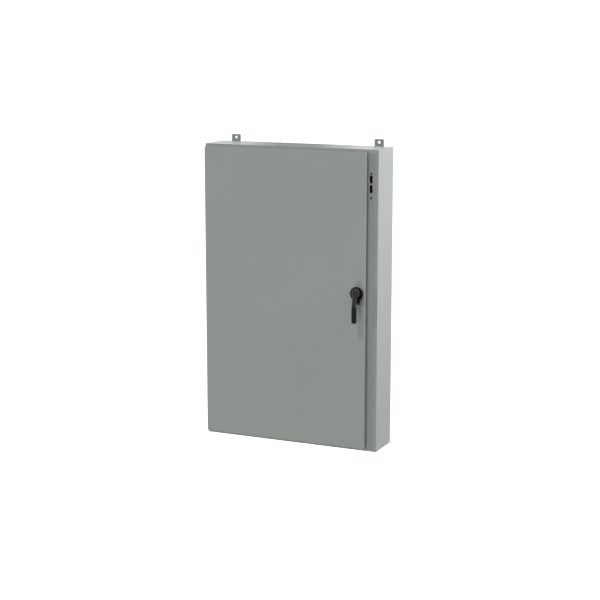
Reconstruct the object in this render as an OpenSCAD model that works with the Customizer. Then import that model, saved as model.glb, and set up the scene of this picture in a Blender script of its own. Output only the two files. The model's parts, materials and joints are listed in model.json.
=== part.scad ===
// Wall-mounted automatic transfer switch: a single-door steel enclosure whose sub-panel carries two
// moulded-case switches, a motor-driven transfer carriage and the controls.
// Origin: centre of the four wall holes, on the wall. +X right, -Y out of the wall, +Z up.

/* [Enclosure] */
// Overall width of the body
body_w = 949.5; // [900:0.5:1000]
// Overall height of the body, without the mounting feet
body_h = 1524; // [1500:1:1560]
// Depth from the wall to the front flange
body_d = 203.2; // [200:0.1:230]
// Thickness of the body and door sheet
sheet_t = 1.9; // [1.5:0.1:2.5]
// Thickness of the mounting feet
foot_t = 3.4; // [3:0.1:5]
// Width of a mounting foot
foot_w = 50; // [45:1:60]
// Horizontal spacing of the wall holes
wall_dx = 797.05; // [790:0.05:800]
// Vertical spacing of the wall holes
wall_dz = 1562.1; // [1560:0.1:1565]
// Diameter of a wall hole
wall_hole_d = 14; // [11:0.5:15]
// Height of a foot above the body
foot_rise = 35; // [32:1:40]
// Width of the flange left free at the right of the door
flange_w = 59.5; // [55:0.5:62]

/* [Door] */
// Depth of the door pan in front of the flange
door_d = 20; // [18:1:24]
// Flange strip left free above and below the door
door_strip = 15; // [13:1:18]
// Radius of the hinge barrel
barrel_r = 3.25; // [3:0.05:3.5]
// Radius of the hinge pin
pin_r = 1.6; // [1.4:0.05:1.7]
// Length of one hinge knuckle with its gap
knuckle = 25.4; // [20:0.1:30]
// Thickness of the hinge leaves
leaf_t = 1.3; // [1:0.1:1.4]

/* [Latch] */
// Distance of the handle from the middle of the body
handle_x = 372.75; // [371:0.25:374]
// Height of the handle above the middle of the body
handle_z = 47; // [30:1:60]
// Length of the lever below its hub centre
lever_l = 144; // [130:1:165]
// Width of the lever
lever_w = 24; // [20:1:26]
// Radius of the escutcheon
escutcheon_r = 34.5; // [30:0.5:36]
// Radius at which the cam pins sit
cam_r = 20; // [18:0.5:20]
// Radius of the latch rollers
roller_r = 9; // [8:0.5:9]

/* [Transfer mechanism] */
// Width of a three-pole switch
switch_w = 140; // [130:1:150]
// Height of a three-pole switch
switch_h = 260; // [240:1:270]
// Swing of a toggle to either side of its middle
toggle_swing = 17; // [15:0.5:18]
// Distance from a toggle's pivot to the fork
toggle_arm = 50; // [48:0.5:52]
// Module of the rack and pinion
gear_m = 2; // [2:0.5:2]
// Number of pinion teeth
gear_n = 16; // [16:1:18]

/* [Hidden] */
$fn = 48;

// Colours
shell_grey = [0.56, 0.585, 0.565];
handle_black = [0.09, 0.095, 0.09];
moulded_black = [0.12, 0.12, 0.13];
moulded_grey = [0.35, 0.36, 0.37];
steel = [0.68, 0.69, 0.7];
copper = [0.75, 0.45, 0.3];
aluminium = [0.78, 0.79, 0.8];
white_paint = [0.9, 0.9, 0.88];
barrier_fibre = [0.62, 0.3, 0.2];

// Planes of the body
left_x = -body_w / 2;
right_x = body_w / 2;
front_y = -body_d;
back_y = -foot_t;
inner_back_y = back_y - sheet_t;
half_h = body_h / 2;
inner_half_h = half_h - sheet_t;

// Door and the opening behind it
hinge_x = left_x + 1.25;
hinge_y = front_y - barrel_r;
door_left = hinge_x + barrel_r;
door_right = right_x - flange_w;
door_half_h = half_h - door_strip;
door_y = front_y - door_d;
door_inner_y = door_y + sheet_t;
door_return_y = front_y - 2;
door_overlap = 11.25;
open_left = door_left + 30.25;
open_right = door_right - door_overlap;
open_half_h = door_half_h - door_overlap;
lip_d = 10;
gasket_w = 12;

// Handle, cam and rods, in depth
hub_y = door_y - 8;
lever_y = hub_y - 20;
grip_y = lever_y - 18;
cam_y = front_y + 3.2;
cam_t = 4;
rod_y = cam_y + cam_t + 2;
rod_t = 4;
cam_pin_r = 3.5;
pin_offset = cam_r * cos(45);
rod_offset = 15;
rod_w = 16;
shaft_r = 7;
run_fit = 0.05;
roller_w = 10;
roller_gap = 1.5;
roller_z = open_half_h - roller_gap - roller_r;
roller_y = front_y + sheet_t + 0.3 + roller_r;
axle_r = 3;

// Sub-panel and what stands on it
panel_w = 812.8;
panel_h = 1422.4;
panel_x = -18;
panel_t = 2.7;
panel_standoff = 14;
panel_back_y = inner_back_y - panel_standoff;
panel_y = panel_back_y - panel_t;
stud_dx = panel_w - 50;
stud_rows = [-0.5, -0.2, 0.2, 0.5];
stud_dz = panel_h - 50;

// Switches and their operator
switch_x = -110;
middle_z = 60;
normal_z = middle_z + 190;
emergency_z = middle_z - 190;
pole_pitch = 45;
base_front_y = panel_y - 65;
cover_front_y = panel_y - 105;
pivot_y = panel_y - 78;
fork_y = pivot_y - toggle_arm;
carriage_x = 0;
carriage_w = 28;
carriage_t = 12;
carriage_y = fork_y + 2;
rod_x_pair = [carriage_x + 3, carriage_x + carriage_w - 3];
slide_rod_r = 4;
slide_rod_y = carriage_y + 10;
gear_pitch_r = gear_m * gear_n / 2;
gear_pitch = PI * gear_m;
rack_x = carriage_x + carriage_w + 2;
pinion_x = rack_x + gear_pitch_r + 0.1;
bearing_z = [middle_z + 170, middle_z - 170];
frame_z = [middle_z + 240, middle_z - 240];
pinion_shaft_r = 7;
housing_front_y = panel_y - 90;
frame_plate_t = 3;
housing_low_z = middle_z - 52;

// Controls column
controls_x = 262;
controller_z = 430;
rail_z = [215, -215];
rail_l = 210;
transformer_z = [-5, -400];
core_w = 120;
core_h = 80;
window_h = 44;
core_front_y = panel_y - 70;
core_back_y = panel_y - 20;
controller_w = 190;
controller_h = 150;
controller_y = panel_y - 62;
button_r = 8;
button_x = controls_x + 60;
button_z = controller_z - 46;
motor_x = pinion_x + 40;
motor_y = panel_y - 46;
motor_r = 34;
motor_box_w = 36;
motor_lead_z = -45;
load_x = -340;
load_pitch = 36;
duct_w = 30;
duct_h = 60;
duct_x = 142;
duct_z = [318, 120, -130, -310];
branch_x = duct_x + duct_w / 2 + 3;
duct_runs = concat([[[duct_x, 0, -330], 0, 890]], [for (z = duct_z) [[branch_x, 0, z], 90, 205]]);
relay_pitch = 30;
relay_count = 5;
block_pitch = 8;
block_count = 22;
device_x = controls_x - 88;
lug_rows = [[normal_z + switch_h / 2 + 2, 1], [emergency_z - switch_h / 2 - 32, -1]];
ground_stud_place = [430, inner_back_y, -690];
bar_x = -250;
ground_bar_z = -640;
neutral_bar_z = -520;
bar_standoff = 30;
stiffener_x = [-270, 90];
guide_places = [[1, 560], [1, 200], [-1, -100], [-1, -560]];
operator_hole_z = [644, 524.5];
operator_hole_r = 5.1;
operator_slots = [[616, 40], [568.5, 41]];
operator_slot_w = 15;
operator_x = right_x - 38.5;

// A box from its low corner to its high corner
module span(a, b) {
    translate(a) cube(b - a);
}

// A cylinder along Y, from y to y + l
module rod_along_y(x, z, y, l, r) {
    translate([x, y, z]) rotate([-90, 0, 0]) cylinder(r = r, h = l);
}

// A cylinder along X, from x to x + l
module rod_along_x(x, y, z, l, r) {
    translate([x, y, z]) rotate([0, 90, 0]) cylinder(r = r, h = l);
}

// A plate standing in the XZ plane with rounded corners
module round_plate(w, h, t, r) {
    rotate([90, 0, 0]) translate([0, 0, -t]) linear_extrude(t) {
        square([w - 2 * r, h], center = true);
        square([w, h - 2 * r], center = true);
        for (sx = [-1, 1], sz = [-1, 1]) translate([sx * (w / 2 - r), sz * (h / 2 - r)]) circle(r);
    }
}

// A slot through a sheet in the XZ plane, standing upright
module upright_slot(x, z, w, h, y, l) {
    for (s = [-1, 1]) rod_along_y(x, z + s * (h - w) / 2, y, l, w / 2);
    span([x - w / 2, y, z - (h - w) / 2], [x + w / 2, y + l, z + (h - w) / 2]);
}

// ---- Body ----
module back_sheet() {
    color(shell_grey) span([left_x + sheet_t, inner_back_y, -inner_half_h],
                           [right_x - sheet_t, back_y, inner_half_h]);
}

module left_side() {
    color(shell_grey) {
        span([left_x, front_y, -inner_half_h], [left_x + sheet_t, back_y, inner_half_h]);
        span([left_x, front_y, -inner_half_h], [open_left, front_y + sheet_t, inner_half_h]);
        span([open_left - sheet_t, front_y - lip_d, -open_half_h],
             [open_left, front_y, open_half_h]);
    }
}

// The right side carries the wide flange with the cut-outs for a disconnect operator
module right_side() {
    color(shell_grey) difference() {
        union() {
            span([right_x - sheet_t, front_y, -inner_half_h], [right_x, back_y, inner_half_h]);
            span([open_right, front_y, -inner_half_h], [right_x, front_y + sheet_t, inner_half_h]);
            span([open_right, front_y - lip_d, -open_half_h],
                 [open_right + sheet_t, front_y, open_half_h]);
        }
        for (slot = operator_slots)
            upright_slot(operator_x, slot[0], operator_slot_w, slot[1], front_y - 1, sheet_t + 2);
        for (z = operator_hole_z) rod_along_y(operator_x, z, front_y - 1, sheet_t + 2, operator_hole_r);
    }
}

// A cap, drawn for the top: its sheet, its front strip and the rolled lip over the opening
module cap() {
    span([left_x, front_y, inner_half_h], [right_x, back_y, half_h]);
    span([open_left, front_y, open_half_h], [open_right, front_y + sheet_t, inner_half_h]);
    span([open_left, front_y - lip_d, open_half_h], [open_right, front_y, open_half_h + sheet_t]);
}

module top_cap() {
    color(shell_grey) cap();
}

module bottom_cap() {
    color(shell_grey) mirror([0, 0, 1]) cap();
}

module mounting_feet() {
    foot_low = half_h - 45;
    foot_high = half_h + foot_rise;
    color(shell_grey) for (sx = [-1, 1], sz = [-1, 1]) difference() {
        translate([sx * wall_dx / 2, -foot_t, sz * (foot_low + foot_high) / 2])
            round_plate(foot_w, foot_high - foot_low, foot_t, 4);
        rod_along_y(sx * wall_dx / 2, sz * wall_dz / 2, -foot_t - 1, foot_t + 2, wall_hole_d / 2);
    }
}

module panel_studs() {
    color(steel) for (sx = [-0.5, 0.5], fz = stud_rows)
        translate([panel_x + sx * stud_dx, inner_back_y, fz * stud_dz]) rotate([90, 0, 0]) {
            cylinder(r = 9, h = panel_standoff);
            cylinder(r = 4.7, h = panel_standoff + 22);
        }
}

module sub_panel() {
    color(white_paint) difference() {
        translate([panel_x, panel_y, 0]) round_plate(panel_w, panel_h, panel_t, 8);
        for (sx = [-0.5, 0.5], fz = stud_rows)
            rod_along_y(panel_x + sx * stud_dx, fz * stud_dz, panel_y - 1, panel_t + 2, 5);
    }
}

module panel_nuts() {
    color(steel) for (sx = [-0.5, 0.5], fz = stud_rows)
        translate([panel_x + sx * stud_dx, panel_y, fz * stud_dz]) rotate([90, 0, 0])
            difference() {
                union() {
                    cylinder(r = 11, h = 1.6);
                    cylinder(r = 9, h = 8, $fn = 6);
                }
                translate([0, 0, -1]) cylinder(r = 4.75, h = 12);
            }
}

// ---- Hinge ----
function knuckle_count() = floor(2 * door_half_h / knuckle);
function knuckle_start(i) = -knuckle_count() * knuckle / 2 + i * knuckle;

// Barrel pieces of one leaf: every second knuckle, bored for the pin
module knuckles(first) {
    for (i = [first : 2 : knuckle_count() - 1])
        translate([hinge_x, hinge_y, knuckle_start(i) + 0.2])
            cylinder(r = barrel_r, h = knuckle - 0.4, $fn = 32);
}

module pin_bore() {
    translate([hinge_x, hinge_y, -half_h]) cylinder(r = pin_r + run_fit, h = body_h);
}

module hinge_body_leaf() {
    color(shell_grey) difference() {
        union() {
            span([hinge_x + barrel_r + 0.4, front_y - leaf_t, -door_half_h],
                 [open_left - 8, front_y, door_half_h]);
            for (i = [0 : 2 : knuckle_count() - 1])
                span([hinge_x, front_y - leaf_t, knuckle_start(i) + 0.2],
                     [hinge_x + barrel_r + 1, front_y, knuckle_start(i) + knuckle - 0.2]);
            knuckles(0);
        }
        pin_bore();
    }
}

module hinge_door_leaf() {
    color(shell_grey) difference() {
        union() {
            span([door_left - leaf_t, door_inner_y, -door_half_h],
                 [door_left, hinge_y - barrel_r - 0.4, door_half_h]);
            for (i = [1 : 2 : knuckle_count() - 1])
                span([door_left - leaf_t, hinge_y - barrel_r - 1, knuckle_start(i) + 0.2],
                     [door_left, hinge_y, knuckle_start(i) + knuckle - 0.2]);
            knuckles(1);
        }
        pin_bore();
    }
}

module hinge_pin() {
    color(steel) translate([hinge_x, hinge_y, knuckle_start(0)])
        cylinder(r = pin_r, h = knuckle_count() * knuckle);
}

// ---- Door ----
module door_pan() {
    color(shell_grey) difference() {
        span([door_left, door_y, -door_half_h], [door_right, door_return_y, door_half_h]);
        span([door_left + sheet_t, door_inner_y, -door_half_h + sheet_t],
             [door_right - sheet_t, door_return_y + 1, door_half_h - sheet_t]);
        rod_along_y(handle_x, handle_z, door_y - 1, sheet_t + 2, 10);
    }
}

module door_gasket() {
    gap = 0.2;
    half_w = gasket_w / 2;
    lip_x = [open_left - sheet_t / 2, open_right + sheet_t / 2];
    lip_z = open_half_h + sheet_t / 2;
    color([0.15, 0.15, 0.15]) difference() {
        span([lip_x[0] - half_w, door_inner_y, -lip_z - half_w],
             [lip_x[1] + half_w, front_y - lip_d - gap, lip_z + half_w]);
        span([lip_x[0] + half_w, door_inner_y - 1, -lip_z + half_w],
             [lip_x[1] - half_w, front_y, lip_z - half_w]);
    }
}

// Hat-section stiffeners welded inside the door
module door_stiffeners() {
    hat_h = 12;
    hat_l = 1380;
    color(shell_grey) for (x = stiffener_x) difference() {
        union() {
            span([x - 35, door_inner_y, -hat_l / 2], [x + 35, door_inner_y + 1.5, hat_l / 2]);
            span([x - 18, door_inner_y, -hat_l / 2], [x + 18, door_inner_y + hat_h, hat_l / 2]);
        }
        span([x - 16.5, door_inner_y - 1, -hat_l], [x + 16.5, door_inner_y + hat_h - 1.5, hat_l]);
    }
}

// Guide blocks that hold the latch rods behind the door
module rod_guides() {
    block_w = rod_w + 4.6;
    block_h = 14;
    color(moulded_black) for (place = guide_places) translate([handle_x + place[0] * rod_offset, 0, place[1]])
        difference() {
            span([-block_w / 2, door_inner_y, 0], [block_w / 2, rod_y + rod_t + 3, block_h]);
            span([-rod_w / 2 - 0.3, rod_y - 0.3, -1], [rod_w / 2 + 0.3, rod_y + rod_t + 0.3, block_h + 1]);
        }
}

module document_pocket() {
    low = [-225, door_inner_y, -330];
    high = [45, door_inner_y + 20, -130];
    wall = 2;
    color(moulded_grey) difference() {
        span(low, high);
        span(low + [wall, wall, wall], high + [-wall, -wall, 1]);
        span([low[0] + 30, door_inner_y + 10, high[2] - 40], high + [-30, 1, 1]);
    }
}

module escutcheon() {
    depth = door_y - hub_y;
    color(handle_black) translate([handle_x, door_y, handle_z]) rotate([90, 0, 0])
        difference() {
            union() {
                cylinder(r = escutcheon_r, h = depth - 2);
                translate([0, 0, depth - 2])
                    cylinder(r1 = escutcheon_r, r2 = escutcheon_r - 2, h = 2);
            }
            translate([0, 0, -1]) cylinder(r = shaft_r + run_fit, h = depth + 2);
        }
}

// Fixed tab beside the lever that a padlock passes through
module padlock_hasp() {
    tab_x = handle_x + 13;
    tab_w = 16;
    tab_low = handle_z - 55;
    tab_t = 5;
    shackle_hole_r = 3.4;
    y = hub_y - tab_t;
    color(handle_black) difference() {
        union() {
            span([tab_x - tab_w / 2, y, tab_low + tab_w / 2],
                 [tab_x + tab_w / 2, hub_y, handle_z - 25]);
            rod_along_y(tab_x, tab_low + tab_w / 2, y, tab_t, tab_w / 2);
        }
        rod_along_y(tab_x, tab_low + tab_w / 2, y - 1, tab_t + 2, shackle_hole_r);
    }
}

module shaft_bushing() {
    color(steel) difference() {
        union() {
            rod_along_y(handle_x, handle_z, door_y, sheet_t, 10);
            translate([handle_x, door_inner_y, handle_z]) rotate([-90, 0, 0])
                cylinder(r = 16, h = 7, $fn = 6);
            rod_along_y(handle_x, handle_z, door_inner_y, 12, 10);
        }
        rod_along_y(handle_x, handle_z, door_y - 1, 30, shaft_r + run_fit);
    }
}

// ---- Handle and latch ----
module handle_lever() {
    neck_low = handle_z - 60;
    hub_r = 19.75;
    hub_rise = 9;
    hub_depth = 20;
    lock_r = 6;
    lock_rise = 14;
    color(handle_black) difference() {
        union() {
            for (rise = [0, hub_rise])
                translate([handle_x, hub_y - 0.3, handle_z + rise]) rotate([90, 0, 0]) {
                    cylinder(r = hub_r, h = hub_depth - 3);
                    translate([0, 0, hub_depth - 3]) cylinder(r1 = hub_r, r2 = hub_r - 3, h = 3);
                }
            hull() {
                rod_along_y(handle_x, handle_z, lever_y - 3, 11, lever_w / 2 + 4);
                span([handle_x - lever_w / 2, grip_y + 2, neck_low],
                     [handle_x + lever_w / 2, lever_y + 2, neck_low + 6]);
            }
        }
        rod_along_y(handle_x, handle_z + lock_rise, hub_y - hub_depth - 4, 6, lock_r);
    }
}

module handle_grip() {
    grip_top = handle_z - 60;
    grip_low = handle_z - lever_l;
    half_w = lever_w / 2;
    round_r = 4;
    color(handle_black) hull() {
        for (sx = [-1, 1], dy = [grip_y + round_r, lever_y + 4 - round_r])
            translate([handle_x + sx * (half_w - round_r), dy, grip_low + round_r]) {
                sphere(r = round_r, $fn = 24);
                cylinder(r = round_r, h = grip_top - grip_low - round_r, $fn = 24);
            }
    }
}

module handle_shaft() {
    color(steel) rod_along_y(handle_x, handle_z, hub_y - 0.3, cam_y + cam_t + 0.5 - hub_y,
                             shaft_r);
}

// Cam plate with the two rod pins and the tongue of the centre latch
module latch_cam() {
    tongue = open_right - 1.75 - handle_x;
    color(steel) difference() {
        union() {
            rod_along_y(handle_x, handle_z, cam_y, cam_t, cam_r + 5);
            span([handle_x, cam_y, handle_z - 6], [handle_x + tongue, cam_y + cam_t, handle_z + 6]);
            for (s = [-1, 1]) rod_along_y(handle_x + s * pin_offset, handle_z + s * pin_offset,
                                          cam_y, rod_y + rod_t + 2.5 - cam_y, cam_pin_r);
        }
        rod_along_y(handle_x, handle_z, cam_y - 1, cam_t + 2, shaft_r);
    }
}

// A latch rod, drawn for the top: slotted end at the cam, bar and roller fork
module latch_rod(fork_z) {
    slot_h = 2 * cam_pin_r + 2.4;
    slot_a = pin_offset - cam_pin_r - 0.6;
    slot_b = cam_r + cam_pin_r + 0.6;
    fork_w = 22;
    fork_low = fork_z - 24;
    color(steel) difference() {
        union() {
            span([slot_a - 4, rod_y, pin_offset - slot_h / 2 - 4],
                 [slot_b + 4, rod_y + rod_t, pin_offset + slot_h / 2 + 4]);
            span([rod_offset - rod_w / 2, rod_y, pin_offset],
                 [rod_offset + rod_w / 2, rod_y + rod_t, fork_low + 1]);
            difference() {
                span([rod_offset - fork_w / 2, roller_y - 6, fork_low],
                     [rod_offset + fork_w / 2, roller_y + 6, fork_z + 5]);
                span([rod_offset - roller_w / 2 - 0.3, roller_y - 7, fork_z - roller_r - 1.5],
                     [rod_offset + roller_w / 2 + 0.3, roller_y + 7, fork_z + 6]);
            }
            rod_along_x(rod_offset - fork_w / 2, roller_y, fork_z, fork_w, axle_r);
        }
        span([slot_a, rod_y - 1, pin_offset - slot_h / 2],
             [slot_b, rod_y + rod_t + 1, pin_offset + slot_h / 2]);
    }
}

module top_rod() {
    translate([handle_x, 0, handle_z]) latch_rod(roller_z - handle_z);
}

module bottom_rod() {
    translate([handle_x, 0, handle_z]) mirror([1, 0, 0]) mirror([0, 0, 1])
        latch_rod(roller_z + handle_z);
}

module latch_roller(side) {
    color(moulded_grey) difference() {
        rod_along_x(handle_x + side * rod_offset - roller_w / 2, roller_y, side * roller_z,
                    roller_w, roller_r);
        rod_along_x(handle_x + side * rod_offset - roller_w, roller_y, side * roller_z,
                    2 * roller_w, axle_r + run_fit);
    }
}

module top_roller() {
    latch_roller(1);
}

module bottom_roller() {
    latch_roller(-1);
}

// ---- Grounding and neutral ----
module ground_stud() {
    color(copper) {
        translate(ground_stud_place) rotate([90, 0, 0]) {
            cylinder(r = 4, h = 30);
            cylinder(r = 8, h = 7, $fn = 6);
            translate([0, 0, 12]) cylinder(r = 9, h = 1.6);
            translate([0, 0, 14]) cylinder(r = 8, h = 6, $fn = 6);
        }
    }
}

// A drilled terminal bar lying along X, with a screw over every wire hole
module terminal_bar(x, z, l, holes) {
    bar_t = 12;
    y = panel_y - bar_standoff - bar_t;
    difference() {
        span([x - l / 2, y, z - 10], [x + l / 2, y + bar_t, z + 10]);
        for (i = [0 : holes - 1])
            translate([x - l / 2 + (i + 0.5) * l / holes, y + bar_t / 2, z - 11])
                cylinder(r = 3.2, h = 22, $fn = 24);
    }
    for (i = [0 : holes - 1])
        rod_along_y(x - l / 2 + (i + 0.5) * l / holes, z, y - 3, 3.5, 3.6);
}

module ground_bar() {
    color(copper) terminal_bar(bar_x, ground_bar_z, 240, 12);
}

module neutral_bar() {
    color(copper) terminal_bar(bar_x, neutral_bar_z, 260, 10);
}

module bar_insulators() {
    color(barrier_fibre) for (side = [-1, 1], z = [ground_bar_z, neutral_bar_z])
        translate([bar_x + side * 90, panel_y, z]) rotate([90, 0, 0]) {
            cylinder(r1 = 13, r2 = 9, h = bar_standoff / 2);
            translate([0, 0, bar_standoff / 2]) cylinder(r1 = 9, r2 = 12, h = bar_standoff / 2);
        }
}

// ---- Switches ----
// Lower half of a moulded switch, with a terminal pocket for each pole at both ends
module switch_base(z) {
    pocket_d = 32;
    difference() {
        span([switch_x - switch_w / 2, base_front_y, z - switch_h / 2],
             [switch_x + switch_w / 2, panel_y, z + switch_h / 2]);
        for (p = [-1, 0, 1], s = [-1, 1])
            translate([switch_x + p * pole_pitch - 17, base_front_y - 1,
                       z + s * (switch_h / 2 - pocket_d / 2 + 1) - pocket_d / 2 - 1])
                cube([34, 48, pocket_d + 2]);
    }
}

// Front cover with the raised nose that the toggle passes through
module switch_cover(z) {
    nose_w = 52;
    nose_h = 74;
    difference() {
        union() {
            span([switch_x - switch_w / 2, cover_front_y + 12, z - switch_h / 2 + 34],
                 [switch_x + switch_w / 2, base_front_y, z + switch_h / 2 - 34]);
            span([switch_x - nose_w / 2, cover_front_y, z - nose_h / 2],
                 [switch_x + nose_w / 2, base_front_y, z + nose_h / 2]);
        }
        span([switch_x - 14, cover_front_y - 1, z - 27], [switch_x + 14, base_front_y + 1, z + 27]);
        for (sx = [-1, 1], sz = [-1, 1])
            rod_along_y(switch_x + sx * 58, z + sz * 80, cover_front_y + 11, 6, 4.5);
    }
}

module normal_switch_base() {
    color(moulded_black) switch_base(normal_z);
}

module normal_switch_cover() {
    color(moulded_black) switch_cover(normal_z);
}

module emergency_switch_base() {
    color(moulded_black) switch_base(emergency_z);
}

module emergency_switch_cover() {
    color(moulded_black) switch_cover(emergency_z);
}

// A toggle, drawn tilted up as it stands with the carriage up
module toggle(z) {
    translate([switch_x, pivot_y, z]) rotate([-toggle_swing, 0, 0]) {
        rod_along_x(-12, 0, 0, 24, 9);
        span([-11, -toggle_arm - 14, -5], [11, 0, 5]);
    }
}

module normal_toggle() {
    color(white_paint) toggle(normal_z);
}

module emergency_toggle() {
    color(white_paint) toggle(emergency_z);
}

// A mechanical lug: block with a wire barrel along Z and a tongue under the terminal
module lug(x, z, side) {
    block = 28;
    y = base_front_y + 14;
    difference() {
        span([x - block / 2, y, z], [x + block / 2, y + block, z + 30]);
        translate([x, y + block / 2 + 1, z - 1]) cylinder(r = 10.5, h = 32);
        rod_along_y(x, z + 15, y - 1, 6, 5);
    }
    tongue_z = side > 0 ? [z - 24, z] : [z + 30, z + 54];
    span([x - 10, y + block - 4, tongue_z[0]], [x + 10, y + block, tongue_z[1]]);
}

module terminal_lugs() {
    color(aluminium) {
        for (row = lug_rows, p = [-1, 0, 1]) lug(switch_x + p * pole_pitch, row[0], row[1]);
        for (i = [-1, 0, 1]) difference() {
            span([load_x - 15, panel_y - 74, middle_z + i * load_pitch - 14],
                 [load_x + 15, panel_y - 46, middle_z + i * load_pitch + 14]);
            rod_along_x(load_x - 16, panel_y - 61, middle_z + i * load_pitch, 32, 10.5);
            rod_along_y(load_x, middle_z + i * load_pitch, panel_y - 75, 6, 5);
        }
    }
}

module lug_screws() {
    color(steel) {
        for (row = lug_rows, p = [-1, 0, 1])
            set_screw(switch_x + p * pole_pitch, row[0] + 15, base_front_y + 12);
        for (i = [-1, 0, 1]) set_screw(load_x, middle_z + i * load_pitch, panel_y - 76);
    }
}

// A socket-head set screw facing the door
module set_screw(x, z, y) {
    difference() {
        rod_along_y(x, z, y, 7, 4.8);
        translate([x, y - 1, z]) rotate([-90, 0, 0]) cylinder(r = 2.6, h = 5, $fn = 6);
    }
}

// Copper bars that join the two switches pole by pole and run left to the load lugs
module load_bus() {
    bar_y = panel_y - 36;
    inner_top = normal_z - switch_h / 2 + 24;
    inner_low = emergency_z + switch_h / 2 - 24;
    color(copper) for (p = [-1, 0, 1]) {
        x = switch_x + p * pole_pitch;
        z = middle_z + p * load_pitch;
        span([x - 10, bar_y, inner_low], [x + 10, bar_y + 5, inner_top]);
        span([x - 10, bar_y - 5, z - 10], [x + 10, bar_y, z + 10]);
        span([load_x - 15, bar_y - 10, z - 10], [x + 10, bar_y - 5, z + 10]);
    }
}

// Insulating sheets between the poles, above and below the switches
module phase_barriers() {
    color(barrier_fibre) for (s = [-0.5, 0.5], z = [normal_z + switch_h / 2 + 0.5,
                                                   emergency_z - switch_h / 2 - 62.5])
        span([switch_x + s * pole_pitch - 0.8, base_front_y, z],
             [switch_x + s * pole_pitch + 0.8, panel_y - 1, z + 62]);
}

// ---- Transfer operator ----
// Base plate with an end bracket above and below that holds the guide rods
module operator_frame() {
    bracket_t = 6;
    color([0.45, 0.47, 0.5]) difference() {
        union() {
            span([carriage_x - 14, panel_y - frame_plate_t, frame_z[1]],
                 [carriage_x + 42, panel_y, frame_z[0]]);
            span([carriage_x, panel_y - frame_plate_t, middle_z - 60],
                 [pinion_x + 78, panel_y, middle_z + 60]);
            for (z = [frame_z[1], frame_z[0] - bracket_t])
                span([carriage_x - 8, slide_rod_y - 10, z],
                     [carriage_x + 36, panel_y, z + bracket_t]);
        }
        for (x = rod_x_pair) translate([x, slide_rod_y, frame_z[1] - 1])
            cylinder(r = slide_rod_r, h = frame_z[0] - frame_z[1] + 2);
    }
}

module guide_rods() {
    color(steel) for (x = rod_x_pair) translate([x, slide_rod_y, frame_z[1]])
        cylinder(r = slide_rod_r, h = frame_z[0] - frame_z[1]);
}

module gear_housing() {
    low = [pinion_x - 12, housing_front_y, housing_low_z];
    high = [pinion_x + 78, panel_y - frame_plate_t, middle_z + 52];
    color(aluminium) difference() {
        union() {
            span(low, high);
            rod_along_y(pinion_x + 4, middle_z, housing_front_y - 5, 6, 15);
            for (sx = [0, 1], sz = [-1, 1])
                rod_along_y(pinion_x - 4 + sx * 74, middle_z + sz * 44, housing_front_y - 3, 4, 5);
        }
        rod_along_y(pinion_x, middle_z, housing_front_y - 10, 40, pinion_shaft_r + run_fit);
    }
}

// Motor hanging below the gear housing, with its terminal box in front
module drive_motor() {
    color([0.25, 0.27, 0.3]) {
        translate([motor_x, motor_y, housing_low_z]) mirror([0, 0, 1]) {
            cylinder(r = motor_r + 4, h = 8);
            cylinder(r = motor_r, h = 90);
            cylinder(r = motor_r - 5, h = 104);
        }
        span([motor_x - motor_box_w / 2, motor_y - motor_r - 12, motor_lead_z - 23],
             [motor_x + motor_box_w / 2, motor_y - motor_r + 8, motor_lead_z + 25]);
    }
}

// Involute flank: half the angle of a tooth at radius r
function inv_deg(a) = tan(a) * 180 / PI - a;
function half_tooth(r, base_r, backlash) =
    90 / gear_n - backlash + inv_deg(20) - inv_deg(acos(base_r / r));

module pinion_profile() {
    base_r = gear_pitch_r * cos(20);
    tip_r = gear_pitch_r + 0.85 * gear_m;
    root_r = gear_pitch_r - 1.2 * gear_m;
    backlash = 0.6;
    radii = [for (i = [0 : 4]) base_r + (tip_r - base_r) * i / 4];
    flank = [for (r = radii) [r, half_tooth(r, base_r, backlash)]];
    foot = half_tooth(base_r, base_r, backlash);
    polygon([for (k = [0 : gear_n - 1])
        let (mid = (k + 0.5) * 360 / gear_n,
             rising = concat([[root_r, foot]], flank),
             pts = concat([for (q = rising) [q[0], mid - q[1]]],
                          [for (j = [len(rising) - 1 : -1 : 0]) [rising[j][0], mid + rising[j][1]]]))
        for (q = pts) q[0] * [cos(q[1]), sin(q[1])]]);
}

module drive_pinion() {
    color(steel) {
        translate([pinion_x, carriage_y, middle_z]) rotate([90, 0, 0])
            linear_extrude(carriage_t) pinion_profile();
        rod_along_y(pinion_x, middle_z, carriage_y - carriage_t - 30,
                    housing_front_y + 20 - (carriage_y - carriage_t - 30), pinion_shaft_r);
    }
}

// Lever on the pinion shaft for moving the carriage by hand
module manual_handle() {
    y = carriage_y - carriage_t - 28;
    arm = 78;
    color([0.8, 0.35, 0.1]) difference() {
        union() {
            rod_along_y(pinion_x, middle_z, y, 18, 15);
            span([pinion_x, y + 2, middle_z - 7], [pinion_x + arm, y + 12, middle_z + 7]);
            rod_along_y(pinion_x + arm, middle_z, y - 2, 16, 11);
        }
        rod_along_y(pinion_x, middle_z, y - 5, 40, pinion_shaft_r);
    }
}

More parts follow.
